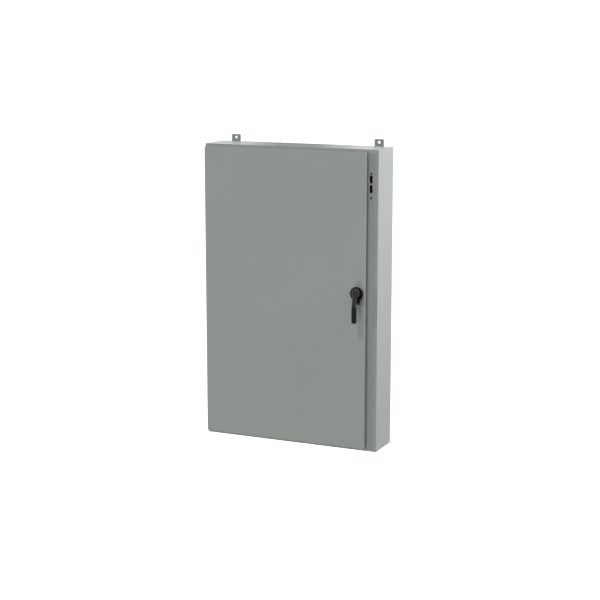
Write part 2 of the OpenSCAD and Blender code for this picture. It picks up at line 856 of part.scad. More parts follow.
// Sliding bar with the rack, the bearing blocks and a fork for each toggle
module transfer_carriage() {
    tooth = gear_pitch / 4 - 0.1;
    lean = tan(20) * gear_m * 0.8;
    fork_h = 40;
    window_h = 14;
    fork_rise = toggle_arm * tan(toggle_swing);
    color(steel) difference() {
        union() {
            span([carriage_x, carriage_y - carriage_t, middle_z - 200],
                 [carriage_x + carriage_w, carriage_y, middle_z + 215]);
            translate([0, carriage_y, middle_z]) rotate([90, 0, 0]) linear_extrude(carriage_t)
                for (k = [-2 : 8]) translate([rack_x, k * gear_pitch])
                    polygon([[-2.1, -tooth - lean * 1.3], [0.8 * gear_m, -tooth + lean],
                             [0.8 * gear_m, tooth - lean], [-2.1, tooth + lean * 1.3]]);
            for (z = bearing_z)
                span([carriage_x - 4, carriage_y, z - 16],
                     [carriage_x + carriage_w + 4, slide_rod_y + 8, z + 16]);
            for (z = [normal_z, emergency_z])
                span([switch_x - 24, carriage_y - 4, z + fork_rise - fork_h / 2],
                     [carriage_x + 1, carriage_y, z + fork_rise + fork_h / 2]);
        }
        for (z = [normal_z, emergency_z])
            span([switch_x - 12, carriage_y - 6, z + fork_rise - window_h / 2],
                 [switch_x + 12, carriage_y + 2, z + fork_rise + window_h / 2]);
        for (x = rod_x_pair) translate([x, slide_rod_y, middle_z - 220])
            cylinder(r = slide_rod_r + run_fit, h = 440);
    }
}

// ---- Controls ----
module controller_case() {
    led_z = controller_z - 46;
    color(moulded_grey) difference() {
        union() {
            span([controls_x - controller_w / 2, controller_y, controller_z - controller_h / 2],
                 [controls_x + controller_w / 2, panel_y, controller_z + controller_h / 2]);
            for (i = [0 : 2]) rod_along_y(controls_x - 60 + i * 30, led_z, controller_y - 2, 4, 4);
        }
        span([controls_x - 62, controller_y - 1, controller_z - 12],
             [controls_x + 62, controller_y + 3, controller_z + 52]);
        rod_along_y(button_x, button_z, controller_y - 1, 14, button_r + 0.3);
    }
}

module controller_display() {
    color([0.1, 0.2, 0.25])
        span([controls_x - 61, controller_y + 1, controller_z - 11],
             [controls_x + 61, controller_y + 3, controller_z + 51]);
}

module test_button() {
    color([0.8, 0.8, 0.78]) rod_along_y(button_x, button_z, controller_y - 5, 13, button_r);
}

// Two control transformers, one for each source: a core with two windows, on two foot strips
module transformer_core() {
    color([0.4, 0.4, 0.42]) for (z = transformer_z) {
        difference() {
            span([controls_x - core_w / 2, core_front_y, z - core_h / 2],
                 [controls_x + core_w / 2, core_back_y, z + core_h / 2]);
            for (s = [-1, 1]) span([controls_x + s * 25 - 15, core_front_y - 1, z - window_h / 2],
                                   [controls_x + s * 25 + 15, core_back_y + 1, z + window_h / 2]);
        }
        for (s = [-1, 1]) span([controls_x - core_w / 2, core_back_y, z + s * 34 - 6],
                               [controls_x + core_w / 2, panel_y, z + s * 34 + 6]);
    }
}

// The winding round the middle leg of each core
module transformer_coil() {
    fit = 0.3;
    color(copper) for (z = transformer_z) difference() {
        span([controls_x - 40 + fit, core_front_y - 14, z - window_h / 2 + fit],
             [controls_x + 40 - fit, core_back_y + 14, z + window_h / 2 - fit]);
        span([controls_x - 10 - fit, core_front_y - fit, z - window_h],
             [controls_x + 10 + fit, core_back_y + fit, z + window_h]);
    }
}

// Top-hat rail, 35 mm wide
module din_rails() {
    color(steel) for (z = rail_z) {
        span([controls_x - rail_l / 2, panel_y - 7.5, z - 13.5],
             [controls_x + rail_l / 2, panel_y, z + 13.5]);
        span([controls_x - rail_l / 2, panel_y - 7.5, z - 17.5],
             [controls_x + rail_l / 2, panel_y - 6.3, z + 17.5]);
    }
}

module relays() {
    color([0.7, 0.72, 0.7]) for (i = [0 : relay_count - 1])
        translate([device_x + i * relay_pitch, 0, rail_z[0]]) {
            span([-13, panel_y - 34, -38], [13, panel_y - 7.8, 38]);
            span([-11, panel_y - 72, -22], [11, panel_y - 34, 22]);
        }
}

module terminal_blocks() {
    color([0.6, 0.62, 0.58]) for (i = [0 : block_count - 1])
        translate([device_x + i * block_pitch, 0, rail_z[1]]) difference() {
            union() {
                span([-3.8, panel_y - 34, -28], [3.8, panel_y - 7.8, 28]);
                span([-3.8, panel_y - 46, -16], [3.8, panel_y - 34, 16]);
            }
            for (s = [-1, 1]) rod_along_y(0, s * 21, panel_y - 35, 8, 2.6);
        }
}

// Side wall of a duct: a comb whose slots open to the front
module comb(l) {
    pitch = 12.5;
    square([l, 14]);
    for (i = [0 : floor(l / pitch) - 1]) translate([i * pitch + 1, 0]) square([7.5, duct_h - 2]);
}

// A slotted wire duct standing on the panel along Z
module duct(l) {
    wall = 1.6;
    translate([-duct_w / 2, panel_y - 1.6, 0]) cube([duct_w, 1.6, l]);
    for (x = [-duct_w / 2, duct_w / 2 - wall])
        translate([x, panel_y, 0]) rotate([0, -90, 180]) linear_extrude(wall) comb(l);
}

module wire_ducts() {
    color(moulded_grey) for (d = duct_runs) translate(d[0]) rotate([0, d[1], 0]) duct(d[2]);
}

module duct_covers() {
    color([0.4, 0.41, 0.42]) for (d = duct_runs) translate(d[0]) rotate([0, d[1], 0])
        span([-duct_w / 2, panel_y - duct_h - 2, 0], [duct_w / 2, panel_y - duct_h, d[2]]);
}

// Point at share t of a smooth curve from a to d, drawn towards b and c on the way
function curve_point(a, b, c, d, t) =
    pow(1 - t, 3) * a + 3 * pow(1 - t, 2) * t * b + 3 * (1 - t) * t * t * c + pow(t, 3) * d;
function unit(v) = v / norm(v);

// A round tube along points that lie in one level plane
module level_tube(points, r) {
    sides = 8;
    last = len(points) - 1;
    rings = [for (i = [0 : last])
        let (along = unit(points[min(i + 1, last)] - points[max(i - 1, 0)]),
             across = cross([0, 0, 1], along))
        for (k = [0 : sides - 1])
            points[i] + r * (cos(k * 360 / sides) * across + sin(k * 360 / sides) * [0, 0, 1])];
    walls = [for (i = [0 : last - 1], k = [0 : sides - 1])
        [i * sides + k, (i + 1) * sides + k,
         (i + 1) * sides + (k + 1) % sides, i * sides + (k + 1) % sides]];
    polyhedron(rings, concat(walls, [[for (k = [0 : sides - 1]) k]],
                             [[for (k = [sides - 1 : -1 : 0]) last * sides + k]]));
}

// Leads from each device to the wire duct beside it
module control_leads() {
    lead_y = panel_y - 30;
    exit_y = motor_y - motor_r - 4;
    duct_y = panel_y - duct_h + 3;
    start_x = motor_x + motor_box_w / 2 + 0.4;
    end_x = duct_x - duct_w / 2 - 0.3;
    motor_lead = [[start_x, exit_y, motor_lead_z], [start_x + 20, exit_y, motor_lead_z],
                  [end_x - 6, duct_y, motor_lead_z], [end_x, duct_y, motor_lead_z]];
    color([0.7, 0.1, 0.1]) {
        level_tube([for (i = [0 : 10]) curve_point(motor_lead[0], motor_lead[1], motor_lead[2],
                                                   motor_lead[3], i / 10)], 2.5);
        for (x = [-50, -30, 30, 50])
            upright_lead(controls_x + x, lead_y, controller_z - controller_h / 2,
                         duct_z[0] + duct_w / 2, 2);
        for (i = [0 : relay_count - 1], s = [-1, 1])
            upright_lead(device_x + i * relay_pitch + s * 6, lead_y + 8, duct_z[0] - duct_w / 2,
                         rail_z[0] + 38, 1.6);
        for (i = [0 : block_count - 1]) {
            x = device_x + i * block_pitch;
            upright_lead(x, lead_y + 4, duct_z[2] - duct_w / 2, rail_z[1] + 28, 1.3);
            upright_lead(x, lead_y + 4, rail_z[1] - 28, duct_z[3] + duct_w / 2, 1.3);
        }
    }
}

// A straight lead that runs down from z_top to z_low
module upright_lead(x, y, z_top, z_low, r) {
    translate([x, y, z_low]) cylinder(r = r, h = z_top - z_low, $fn = 16);
}

back_sheet();
left_side();
right_side();
top_cap();
bottom_cap();
mounting_feet();
panel_studs();
sub_panel();
panel_nuts();
hinge_body_leaf();
hinge_pin();
ground_stud();
ground_bar();
neutral_bar();
bar_insulators();
normal_switch_base();
normal_switch_cover();
emergency_switch_base();
emergency_switch_cover();
terminal_lugs();
load_bus();
lug_screws();
phase_barriers();
operator_frame();
guide_rods();
gear_housing();
drive_motor();
controller_case();
controller_display();
test_button();
transformer_core();
transformer_coil();
din_rails();
relays();
terminal_blocks();
wire_ducts();
duct_covers();
control_leads();
door_pan();
door_gasket();
door_stiffeners();
hinge_door_leaf();
rod_guides();
document_pocket();
escutcheon();
padlock_hasp();
shaft_bushing();
handle_lever();
handle_grip();
handle_shaft();
latch_cam();
top_rod();
bottom_rod();
top_roller();
bottom_roller();
transfer_carriage();
drive_pinion();
manual_handle();
normal_toggle();
emergency_toggle();
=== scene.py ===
import json
import math
import random

import bmesh
import bpy
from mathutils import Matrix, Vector


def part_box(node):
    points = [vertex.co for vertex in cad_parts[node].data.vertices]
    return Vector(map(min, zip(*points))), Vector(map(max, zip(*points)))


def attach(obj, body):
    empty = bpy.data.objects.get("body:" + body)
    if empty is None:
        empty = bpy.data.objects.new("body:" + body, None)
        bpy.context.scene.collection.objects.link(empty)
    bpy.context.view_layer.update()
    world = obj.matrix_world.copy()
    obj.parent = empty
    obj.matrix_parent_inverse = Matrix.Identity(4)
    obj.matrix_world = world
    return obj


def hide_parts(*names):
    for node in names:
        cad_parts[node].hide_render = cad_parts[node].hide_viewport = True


MM = 0.001
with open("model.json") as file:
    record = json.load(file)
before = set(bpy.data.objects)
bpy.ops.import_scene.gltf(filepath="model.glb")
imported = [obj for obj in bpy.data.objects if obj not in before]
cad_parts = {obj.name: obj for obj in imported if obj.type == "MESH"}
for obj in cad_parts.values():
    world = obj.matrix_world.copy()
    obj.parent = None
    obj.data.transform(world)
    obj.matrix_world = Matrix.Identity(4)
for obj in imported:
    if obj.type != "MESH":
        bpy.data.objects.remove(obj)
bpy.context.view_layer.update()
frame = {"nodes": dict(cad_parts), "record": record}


# ---------------------------------------------------------------- shader building
RANGE_SOCKETS = ("From Min", "From Max", "To Min", "To Max")


class Shader:
    """A node material with one Principled shader, fed from the shared frame's coordinates, in metres."""

    def __init__(self, name, colour, roughness, metallic=0.0, **fixed):
        self.material = bpy.data.materials.new(name)
        self.material.use_nodes = True
        self.tree = self.material.node_tree
        self.bsdf = self.tree.nodes["Principled BSDF"]
        self.set("Base Color", (*colour, 1.0))
        self.set("Roughness", roughness)
        self.set("Metallic", metallic)
        for socket, value in fixed.items():
            self.set(socket.replace("_", " "), value)
        self.coords = self.node("ShaderNodeTexCoord").outputs["Object"]
        self.normal = None

    def set(self, socket, value):
        self.bsdf.inputs[socket].default_value = value

    def node(self, kind, **settings):
        made = self.tree.nodes.new(kind)
        for key, value in settings.items():
            setattr(made, key, value)
        return made

    def feed(self, socket, value):
        """Links an output to an input socket, or sets the socket to a plain value."""
        if isinstance(value, bpy.types.NodeSocket):
            self.tree.links.new(value, socket)
        else:
            socket.default_value = value

    def stretched(self, scale):
        mapping = self.node("ShaderNodeMapping")
        mapping.inputs["Scale"].default_value = scale
        self.tree.links.new(self.coords, mapping.inputs["Vector"])
        return mapping.outputs["Vector"]

    def noise(self, scale, detail=2.0, roughness=0.5, stretch=None, distortion=0.0):
        made = self.node("ShaderNodeTexNoise")
        self.feed(made.inputs["Vector"], self.stretched(stretch) if stretch else self.coords)
        made.inputs["Scale"].default_value = scale
        made.inputs["Detail"].default_value = detail
        made.inputs["Roughness"].default_value = roughness
        made.inputs["Distortion"].default_value = distortion
        return made.outputs["Fac"]

    def wave(self, scale, axis="X", distortion=0.0, profile="SIN"):
        made = self.node("ShaderNodeTexWave", bands_direction=axis, wave_profile=profile)
        self.feed(made.inputs["Vector"], self.coords)
        made.inputs["Scale"].default_value = scale
        made.inputs["Distortion"].default_value = distortion
        return made.outputs["Fac"]

    def calc(self, operation, a, b=0.0, clamp=False):
        made = self.node("ShaderNodeMath", operation=operation, use_clamp=clamp)
        self.feed(made.inputs[0], a)
        self.feed(made.inputs[1], b)
        return made.outputs[0]

    def remap(self, value, low, high, to_low=0.0, to_high=1.0):
        made = self.node("ShaderNodeMapRange")
        self.feed(made.inputs["Value"], value)
        for socket, number in zip(RANGE_SOCKETS, (low, high, to_low, to_high)):
            made.inputs[socket].default_value = number
        return made.outputs["Result"]

    def blend(self, share, a, b):
        """Colour a where share is 0 and b where it is 1."""
        made = self.node("ShaderNodeMix", data_type="RGBA")
        self.feed(made.inputs["Factor"], share)
        for socket, colour in (("A", a), ("B", b)):
            target = [s for s in made.inputs if s.name == socket and s.type == "RGBA"][0]
            self.feed(target, (*colour, 1.0) if isinstance(colour, tuple) and len(colour) == 3 else colour)
        return [s for s in made.outputs if s.type == "RGBA"][0]

    def bump(self, height, depth, strength=1.0):
        """Adds relief: height of 1 stands depth metres proud."""
        made = self.node("ShaderNodeBump")
        made.inputs["Strength"].default_value = strength
        made.inputs["Distance"].default_value = depth
        self.feed(made.inputs["Height"], height)
        if self.normal is not None:
            self.tree.links.new(self.normal, made.inputs["Normal"])
        self.normal = made.outputs["Normal"]
        self.feed(self.bsdf.inputs["Normal"], self.normal)

    def edge_share(self, radius):
        """1 on edges that are sharper than radius, 0 on flat ground."""
        bevel = self.node("ShaderNodeBevel", samples=4)
        bevel.inputs["Radius"].default_value = radius
        geometry = self.node("ShaderNodeNewGeometry")
        dot = self.node("ShaderNodeVectorMath", operation="DOT_PRODUCT")
        self.tree.links.new(bevel.outputs["Normal"], dot.inputs[0])
        self.tree.links.new(geometry.outputs["Normal"], dot.inputs[1])
        return self.remap(dot.outputs["Value"], 0.98, 0.80)

    def colour(self, value):
        self.feed(self.bsdf.inputs["Base Color"], value)

    def roughness(self, value):
        self.feed(self.bsdf.inputs["Roughness"], value)


def shade(colour, factor):
    return tuple(min(1.0, channel * factor) for channel in colour)


# ---------------------------------------------------------------- materials
def powder_coat(name, colour, roughness=0.36, peel=1.0):
    """Semi-gloss powder coat: fine orange peel, slow colour drift and slightly thin, paler edges."""
    s = Shader(name, colour, roughness, Coat_Weight=0.12, Coat_Roughness=0.18)
    drift = s.noise(2.3, detail=3.0)
    specks = s.noise(420.0, detail=1.0)
    body = s.blend(s.remap(drift, 0.3, 0.7), shade(colour, 0.97), shade(colour, 1.03))
    body = s.blend(s.remap(specks, 0.62, 0.78, 0.0, 0.25), body, shade(colour, 0.88))
    edge = s.calc("MULTIPLY", s.edge_share(0.0012), s.remap(s.noise(60.0), 0.35, 0.7, 0.1, 0.6))
    s.colour(s.blend(edge, body, shade(colour, 1.25)))
    s.roughness(s.remap(s.noise(9.0, detail=4.0), 0.3, 0.7, roughness - 0.05, roughness + 0.07))
    s.bump(s.noise(330.0, detail=2.0, roughness=0.6), 0.00012 * peel)
    s.bump(s.noise(6.0, detail=1.0), 0.0006)
    return s.material


def textured_black(name, colour):
    """Black textured coat on a die-cast handle, worn a little bare along its edges."""
    s = Shader(name, colour, 0.46, Specular_IOR_Level=0.22)
    grain = s.noise(1100.0, detail=2.0, roughness=0.7)
    rub = s.calc("MULTIPLY", s.edge_share(0.0009), s.remap(s.noise(140.0, detail=3.0), 0.45, 0.7))
    body = s.blend(s.remap(grain, 0.35, 0.7), shade(colour, 0.75), shade(colour, 1.5))
    s.colour(s.blend(rub, body, (0.12, 0.12, 0.12)))
    s.roughness(s.remap(s.noise(45.0, detail=3.0), 0.3, 0.7, 0.38, 0.56))
    s.bump(grain, 0.00016)
    return s.material


def zinc(name, colour):
    """Bright zinc plate with a drawn grain, cloudy passivation and small scuffs."""
    s = Shader(name, colour, 0.34, metallic=1.0)
    cloud = s.noise(38.0, detail=4.0)
    tint = s.blend(s.remap(cloud, 0.35, 0.7), shade(colour, 0.9), (0.70, 0.68, 0.60))
    s.colour(tint)
    s.roughness(s.remap(s.noise(240.0, stretch=(1.0, 1.0, 0.08)), 0.3, 0.7, 0.26, 0.48))
    s.bump(s.noise(900.0, stretch=(1.0, 1.0, 0.05)), 0.00004)
    return s.material


def moulded(name, colour, roughness=0.5, grain=1.0):
    """Moulded plastic with spark-eroded grain, faint flow marks and paler flecks on the raised points of
    the fine grain.
    """
    s = Shader(name, colour, roughness)
    flow = s.noise(14.0, detail=3.0, distortion=0.8)
    fine = s.noise(1500.0, detail=1.0)
    body = s.blend(s.remap(flow, 0.3, 0.7), shade(colour, 0.9), shade(colour, 1.12))
    s.colour(s.blend(s.remap(fine, 0.6, 0.8, 0.0, 0.3), body, shade(colour, 1.6)))
    s.roughness(s.remap(s.noise(30.0), 0.3, 0.7, roughness - 0.08, roughness + 0.08))
    s.bump(fine, 0.00007 * grain)
    return s.material


def glossy(name, colour, roughness=0.22):
    """Gloss-moulded plastic with slight sink waviness and fine scratches."""
    s = Shader(name, colour, roughness, Coat_Weight=0.2, Coat_Roughness=0.1)
    scratch = s.noise(700.0, detail=1.0, stretch=(1.0, 0.08, 1.0))
    body = s.blend(s.remap(s.noise(25.0), 0.3, 0.7), shade(colour, 0.94), shade(colour, 1.05))
    s.colour(body)
    s.roughness(s.remap(scratch, 0.5, 0.8, roughness, roughness + 0.2))
    s.bump(s.noise(90.0), 0.00008)
    return s.material


def bare_copper(name, colour):
    """Sawn and tumbled copper bar, darker where it has tarnished."""
    s = Shader(name, colour, 0.3, metallic=1.0)
    tarnish = s.noise(18.0, detail=5.0, roughness=0.65)
    s.colour(s.blend(s.remap(tarnish, 0.42, 0.7), colour, (0.30, 0.14, 0.08)))
    s.roughness(s.remap(s.noise(180.0, detail=3.0), 0.3, 0.7, 0.22, 0.45))
    s.bump(s.noise(650.0, stretch=(0.12, 1.0, 1.0)), 0.00005)
    return s.material


def cast_metal(name, colour, roughness=0.45):
    """Sand-blasted die casting: pebbled, with brighter rubbed edges."""
    s = Shader(name, colour, roughness, metallic=1.0)
    pebble = s.noise(620.0, detail=3.0, roughness=0.7)
    edge = s.edge_share(0.001)
    s.colour(s.blend(s.calc("MULTIPLY", edge, 0.6), shade(colour, 0.85), shade(colour, 1.25)))
    s.roughness(s.remap(pebble, 0.3, 0.7, roughness - 0.08, roughness + 0.12))
    s.bump(pebble, 0.00022)
    return s.material


def laminated(name, colour):
    """Stacked core laminations under varnish: fine plates seen edge on."""
    s = Shader(name, colour, 0.42, metallic=0.6)
    plates = s.wave(160.0, axis="Z", distortion=0.4)
    s.colour(s.blend(plates, shade(colour, 0.55), shade(colour, 1.3)))
    s.roughness(s.remap(s.noise(60.0), 0.3, 0.7, 0.3, 0.55))
    s.bump(plates, 0.00025)
    return s.material


def wound(name, colour):
    """Layers of enamelled wire under clear tape."""
    s = Shader(name, colour, 0.3, Coat_Weight=0.5, Coat_Roughness=0.12)
    turns = s.wave(260.0, axis="Z", distortion=0.15)
    s.colour(s.blend(turns, shade(colour, 0.5), shade(colour, 1.25)))
    s.bump(turns, 0.0004)
    return s.material


def rubber(name, colour, pores=1.0):
    """Matt rubber or PVC: soft, dusty, finely pored."""
    s = Shader(name, colour, 0.72)
    s.colour(s.blend(s.remap(s.noise(40.0, detail=3.0), 0.35, 0.7), colour, shade(colour, 1.35)))
    s.roughness(s.remap(s.noise(80.0), 0.3, 0.7, 0.6, 0.85))
    s.bump(s.noise(1300.0, detail=2.0), 0.00012 * pores)
    return s.material


def display(name, colour):
    """A dark liquid-crystal window with a faint dot grid under gloss."""
    s = Shader(name, colour, 0.12, Coat_Weight=0.8, Coat_Roughness=0.04)
    grid = s.calc("MULTIPLY", s.wave(520.0, "X"), s.wave(520.0, "Z"))
    s.colour(s.blend(grid, colour, shade(colour, 1.5)))
    s.roughness(s.remap(s.noise(50.0), 0.3, 0.7, 0.08, 0.2))
    return s.material


def paper(name, colour):
    """Uncoated paper with fibre mottle."""
    s = Shader(name, colour, 0.85)
    fibres = s.remap(s.noise(120.0, detail=4.0), 0.3, 0.7)
    s.colour(s.blend(fibres, shade(colour, 0.94), shade(colour, 1.04)))
    s.roughness(s.remap(s.noise(300.0), 0.3, 0.7, 0.78, 0.92))
    s.bump(s.noise(800.0, detail=2.0), 0.00003)
    return s.material


def lamp(name, colour):
    """Ribbed translucent lens over an unlit lamp."""
    s = Shader(name, colour, 0.12, Transmission_Weight=0.35, IOR=1.49, Coat_Weight=0.5)
    s.colour(s.blend(s.remap(s.noise(400.0), 0.3, 0.7), shade(colour, 0.85), shade(colour, 1.2)))
    s.bump(s.wave(420.0, "X"), 0.00006)
    return s.material


SHELL = (0.335, 0.365, 0.345)
MATERIALS = {}


def finish(name, maker, colour, **look):
    MATERIALS[name] = maker(name, colour, **look)


finish("shell_paint", powder_coat, SHELL)
# Painted shade: the mounting feet get the shell's own paint darkened to 0.74, standing in for the shade
# they sit in.
finish("feet_paint", powder_coat, shade(SHELL, 0.74))
finish("panel_paint", powder_coat, (0.80, 0.80, 0.77), roughness=0.34)
finish("zinc_steel", zinc, (0.62, 0.63, 0.64))
finish("handle_black", textured_black, (0.030, 0.029, 0.029))
finish("escutcheon_black", textured_black, (0.003, 0.0035, 0.0035))
finish("grip_sleeve", textured_black, (0.0085, 0.0115, 0.009))
finish("switch_plastic", moulded, (0.022, 0.022, 0.024), roughness=0.48)
finish("guide_plastic", moulded, (0.035, 0.035, 0.037))
finish("controller_plastic", moulded, (0.10, 0.105, 0.11), roughness=0.45)
finish("duct_plastic", moulded, (0.36, 0.37, 0.37), roughness=0.5, grain=0.5)
finish("pocket_plastic", moulded, (0.09, 0.095, 0.10))
finish("copper_bar", bare_copper, (0.78, 0.40, 0.24))
finish("brass_stud", bare_copper, (0.72, 0.52, 0.22))
finish("lug_aluminium", cast_metal, (0.72, 0.73, 0.74), roughness=0.35)
finish("cast_aluminium", cast_metal, (0.50, 0.51, 0.52))
finish("insulator_red", moulded, (0.32, 0.045, 0.025), roughness=0.4)
finish("frame_paint", powder_coat, (0.08, 0.09, 0.10), roughness=0.42)
finish("motor_paint", powder_coat, (0.022, 0.025, 0.032), roughness=0.38, peel=1.6)
finish("display_glass", display, (0.012, 0.03, 0.022))
finish("core_iron", laminated, (0.12, 0.12, 0.125))
finish("coil_copper", wound, (0.42, 0.17, 0.05))
finish("relay_plastic", glossy, (0.42, 0.45, 0.47), roughness=0.16)
finish("terminal_plastic", moulded, (0.34, 0.35, 0.31), roughness=0.42)
finish("wire_red", rubber, (0.36, 0.018, 0.012), pores=0.3)
finish("gasket_rubber", rubber, (0.03, 0.03, 0.03))
finish("manual_orange", glossy, (0.70, 0.13, 0.02))
finish("toggle_white", glossy, (0.78, 0.78, 0.74))
finish("paper", paper, (0.74, 0.73, 0.66))
finish("lamp_green", lamp, (0.02, 0.30, 0.06))
finish("lamp_amber", lamp, (0.50, 0.24, 0.02))
finish("lamp_red", lamp, (0.42, 0.02, 0.02))


# ---------------------------------------------------------------- reading places from the frame
def corners(node):
    """Lowest and highest corner of a CAD node, in millimetres."""
    low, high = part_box(node)
    return low / MM, high / MM


def middle_of(node):
    low, high = corners(node)
    return (low + high) / 2


def about(x, z, half_w, half_h, front, back):
    """Low and high corner of a box round x and z that reaches from front to back."""
    return (x - half_w, front, z - half_h), (x + half_w, back, z + half_h)


def inside(low, high, inset, front, back):
    """Low and high corner of a box whose outline lies inset inside another's, from front to back."""
    return (low.x + inset, front, low.z + inset), (high.x - inset, back, high.z - inset)


def four_points(low, high):
    """The x and z of a box's four corners, seen from the front."""
    return [(x, z) for x in (low[0], high[0]) for z in (low[2], high[2])]


def solids(node):
    """The box of each separate solid of a CAD node, in millimetres, from left to right and then upwards."""
    bm = bmesh.new()
    bm.from_mesh(frame["nodes"][node].data)
    bmesh.ops.remove_doubles(bm, verts=bm.verts, dist=1e-6)
    left = set(bm.verts)
    boxes = []
    while left:
        stack = [left.pop()]
        group = []
        while stack:
            vert = stack.pop()
            group.append(vert.co / MM)
            for edge in vert.link_edges:
                other = edge.other_vert(vert)
                if other in left:
                    left.remove(other)
                    stack.append(other)
        boxes.append((Vector(map(min, zip(*group))), Vector(map(max, zip(*group)))))
    bm.free()
    return sorted(boxes, key=lambda box: (round(box[0].x), round(box[0].z)))


# ---------------------------------------------------------------- mesh building
def round_rim(_angle):
    """A plain circle."""
    return 1.0


def hex_rim(angle):
    """A hexagon whose corners lie on the circle."""
    sixth = math.pi / 3
    return math.cos(sixth / 2) / math.cos(angle % sixth - sixth / 2)


def star_rim(angle):
    """The outline of a cross recess."""
    quarter = math.pi / 2
    off = min(angle % quarter, quarter - angle % quarter)
    return 1.0 if off < 0.13 else 0.36


def slot_rim(angle):
    """A narrow slot as long as the circle is wide."""
    return min(1.0 / max(abs(math.cos(angle)), 1e-6), 0.17 / max(abs(math.sin(angle)), 1e-6))


FRONT = Vector((0, -1, 0))
BACK = Vector((0, 1, 0))
RIGHT = Vector((1, 0, 0))
UP = Vector((0, 0, 1))


class Form:
    """One piece under construction, in millimetres in the shared frame."""

    def __init__(self):
        self.bm = bmesh.new()

    def ring(self, points):
        return [self.bm.verts.new(point) for point in points]

    def skin(self, rings, loop=False):
        """Joins a row of rings, where a ring of one vertex is a pole, and closes both ends."""
        pairs = list(zip(rings, rings[1:])) + ([(rings[-1], rings[0])] if loop else [])
        for a, b in pairs:
            for k in range(max(len(a), len(b))):
                face = [a[k % len(a)], a[(k + 1) % len(a)], b[(k + 1) % len(b)], b[k % len(b)]]
                self.bm.faces.new(list(dict.fromkeys(face)))
        for end in () if loop else (rings[0], rings[-1]):
            if len(end) > 2:
                self.bm.faces.new(end)

    def loft(self, outlines):
        self.skin([self.ring(outline) for outline in outlines])

    def box(self, low, high):
        self.loft([[(x, y, z) for x, y in ((low[0], low[1]), (high[0], low[1]), (high[0], high[1]),
                                           (low[0], high[1]))] for z in (low[2], high[2])])

    def spin(self, profile, centre, out=FRONT, steps=24):
        """Turns rows of (radius, height, rim) about a line through centre; heights run along out."""
        axis = Vector(out)
        side = UP if abs(axis.x) > 0.9 else RIGHT
        up = axis.cross(side)
        rings = []
        for radius, height, *rim in profile:
            shape = rim[0] if rim else round_rim
            middle = Vector(centre) + axis * height
            turns = [k * math.tau / steps for k in range(steps if radius else 1)]
            rings.append(self.ring([middle + (side * math.cos(t) + up * math.sin(t)) * radius * shape(t)
                                    for t in turns]))
        self.skin(rings)

    def tube(self, points, radius, sides=8, ripple=0.0, loop=False):
        """A round tube along points; ripple swells it now and then, as a weld bead does."""
        points = [Vector(point) for point in points]
        last = len(points) - 1
        normal = None
        rings = []
        for i, point in enumerate(points):
            ahead = points[(i + 1) % len(points)] if loop else points[min(i + 1, last)]
            behind = points[i - 1] if loop or i else point
            along = (ahead - behind).normalized()
            normal = normal or along.orthogonal()
            normal = (normal - along * normal.dot(along)).normalized()
            across = along.cross(normal)
            swell = radius * (1 + ripple * math.sin(2.4 * i))
            rings.append(self.ring([point + (normal * math.cos(t) + across * math.sin(t)) * swell
                                    for t in (k * math.tau / sides for k in range(sides))]))
        self.skin(rings, loop)

    def frame(self, low, high, border):
        """A flat picture frame that stands in the XZ plane and fills the box from low to high."""
        rings = []
        for x, z, dx, dz in ((low[0], low[2], 1, 1), (high[0], low[2], -1, 1),
                             (high[0], high[2], -1, -1), (low[0], high[2], 1, -1)):
            inner_x, inner_z = x + dx * border, z + dz * border
            rings.append(self.ring([(x, low[1], z), (x, high[1], z),
                                    (inner_x, high[1], inner_z), (inner_x, low[1], inner_z)]))
        self.skin(rings, loop=True)

    def socket_screw(self, centre, radius, out=FRONT):
        """A cap screw with a hexagon socket."""
        top = 1.1 * radius
        self.spin([(0, 0.3 * top), (0.55 * radius, 0.3 * top, hex_rim), (0.55 * radius, top, hex_rim),
                   (0.86 * radius, top), (radius, 0.86 * top), (radius, 0)], centre, out)

    def pan_screw(self, centre, radius, out=FRONT, recess=star_rim):
        """A low domed screw with a cross recess or a slot."""
        top = 0.62 * radius
        self.spin([(0, 0.25 * top), (0.66 * radius, 0.25 * top, recess), (0.66 * radius, top, recess),
                   (0.8 * radius, 0.92 * top), (0.95 * radius, 0.6 * top), (radius, 0)], centre, out)

    def hex_bolt(self, centre, radius, out=FRONT):
        """A hexagon head with a chamfered crown on a flat washer."""
        washer = 0.25 * radius
        top = washer + 0.75 * radius
        self.spin([(0, top), (0.8 * radius, top), (radius, top - 0.15 * radius, hex_rim),
                   (radius, washer, hex_rim), (1.3 * radius, washer), (1.3 * radius, 0)], centre, out)

    def nut(self, centre, radius, out=FRONT):
        """A hexagon nut with the rounded end of its thread standing out of it."""
        top = 0.85 * radius
        self.spin([(0, top + 1.2), (0.4 * radius, top + 1.2), (0.5 * radius, top + 0.6),
                   (0.5 * radius, top), (0.82 * radius, top), (radius, top - 0.15 * radius, hex_rim),
                   (radius, 0, hex_rim)], centre, out)

    def done(self, name, material, body="enclosure", edge=0.0, sharp=38):
        """Makes the Blender object, in metres, on its body; edge rounds its sharp edges by that many mm."""
        bmesh.ops.scale(self.bm, vec=(MM, MM, MM), verts=self.bm.verts)
        bmesh.ops.recalc_face_normals(self.bm, faces=self.bm.faces)
        mesh = bpy.data.meshes.new(name)
        self.bm.to_mesh(mesh)
        self.bm.free()
        mesh.materials.append(MATERIALS[material])
        piece = bpy.data.objects.new(name, mesh)
        bpy.context.scene.collection.objects.link(piece)
        soften_edges(piece, edge)
        mesh.set_sharp_from_angle(angle=math.radians(sharp))
        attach(piece, body)
        return piece


def soften_edges(obj, width):
    """Smooth shading, with a small bevel on sharp edges where width is more than nothing."""
    for polygon in obj.data.polygons:
        polygon.use_smooth = True
    if width:
        bevel = obj.modifiers.new("edges", "BEVEL")
        bevel.width = width * MM
        bevel.segments = 3
        bevel.limit_method = "ANGLE"
        bevel.angle_limit = math.radians(40)
        smooth = obj.modifiers.new("weighted", "WEIGHTED_NORMAL")
        smooth.keep_sharp = True


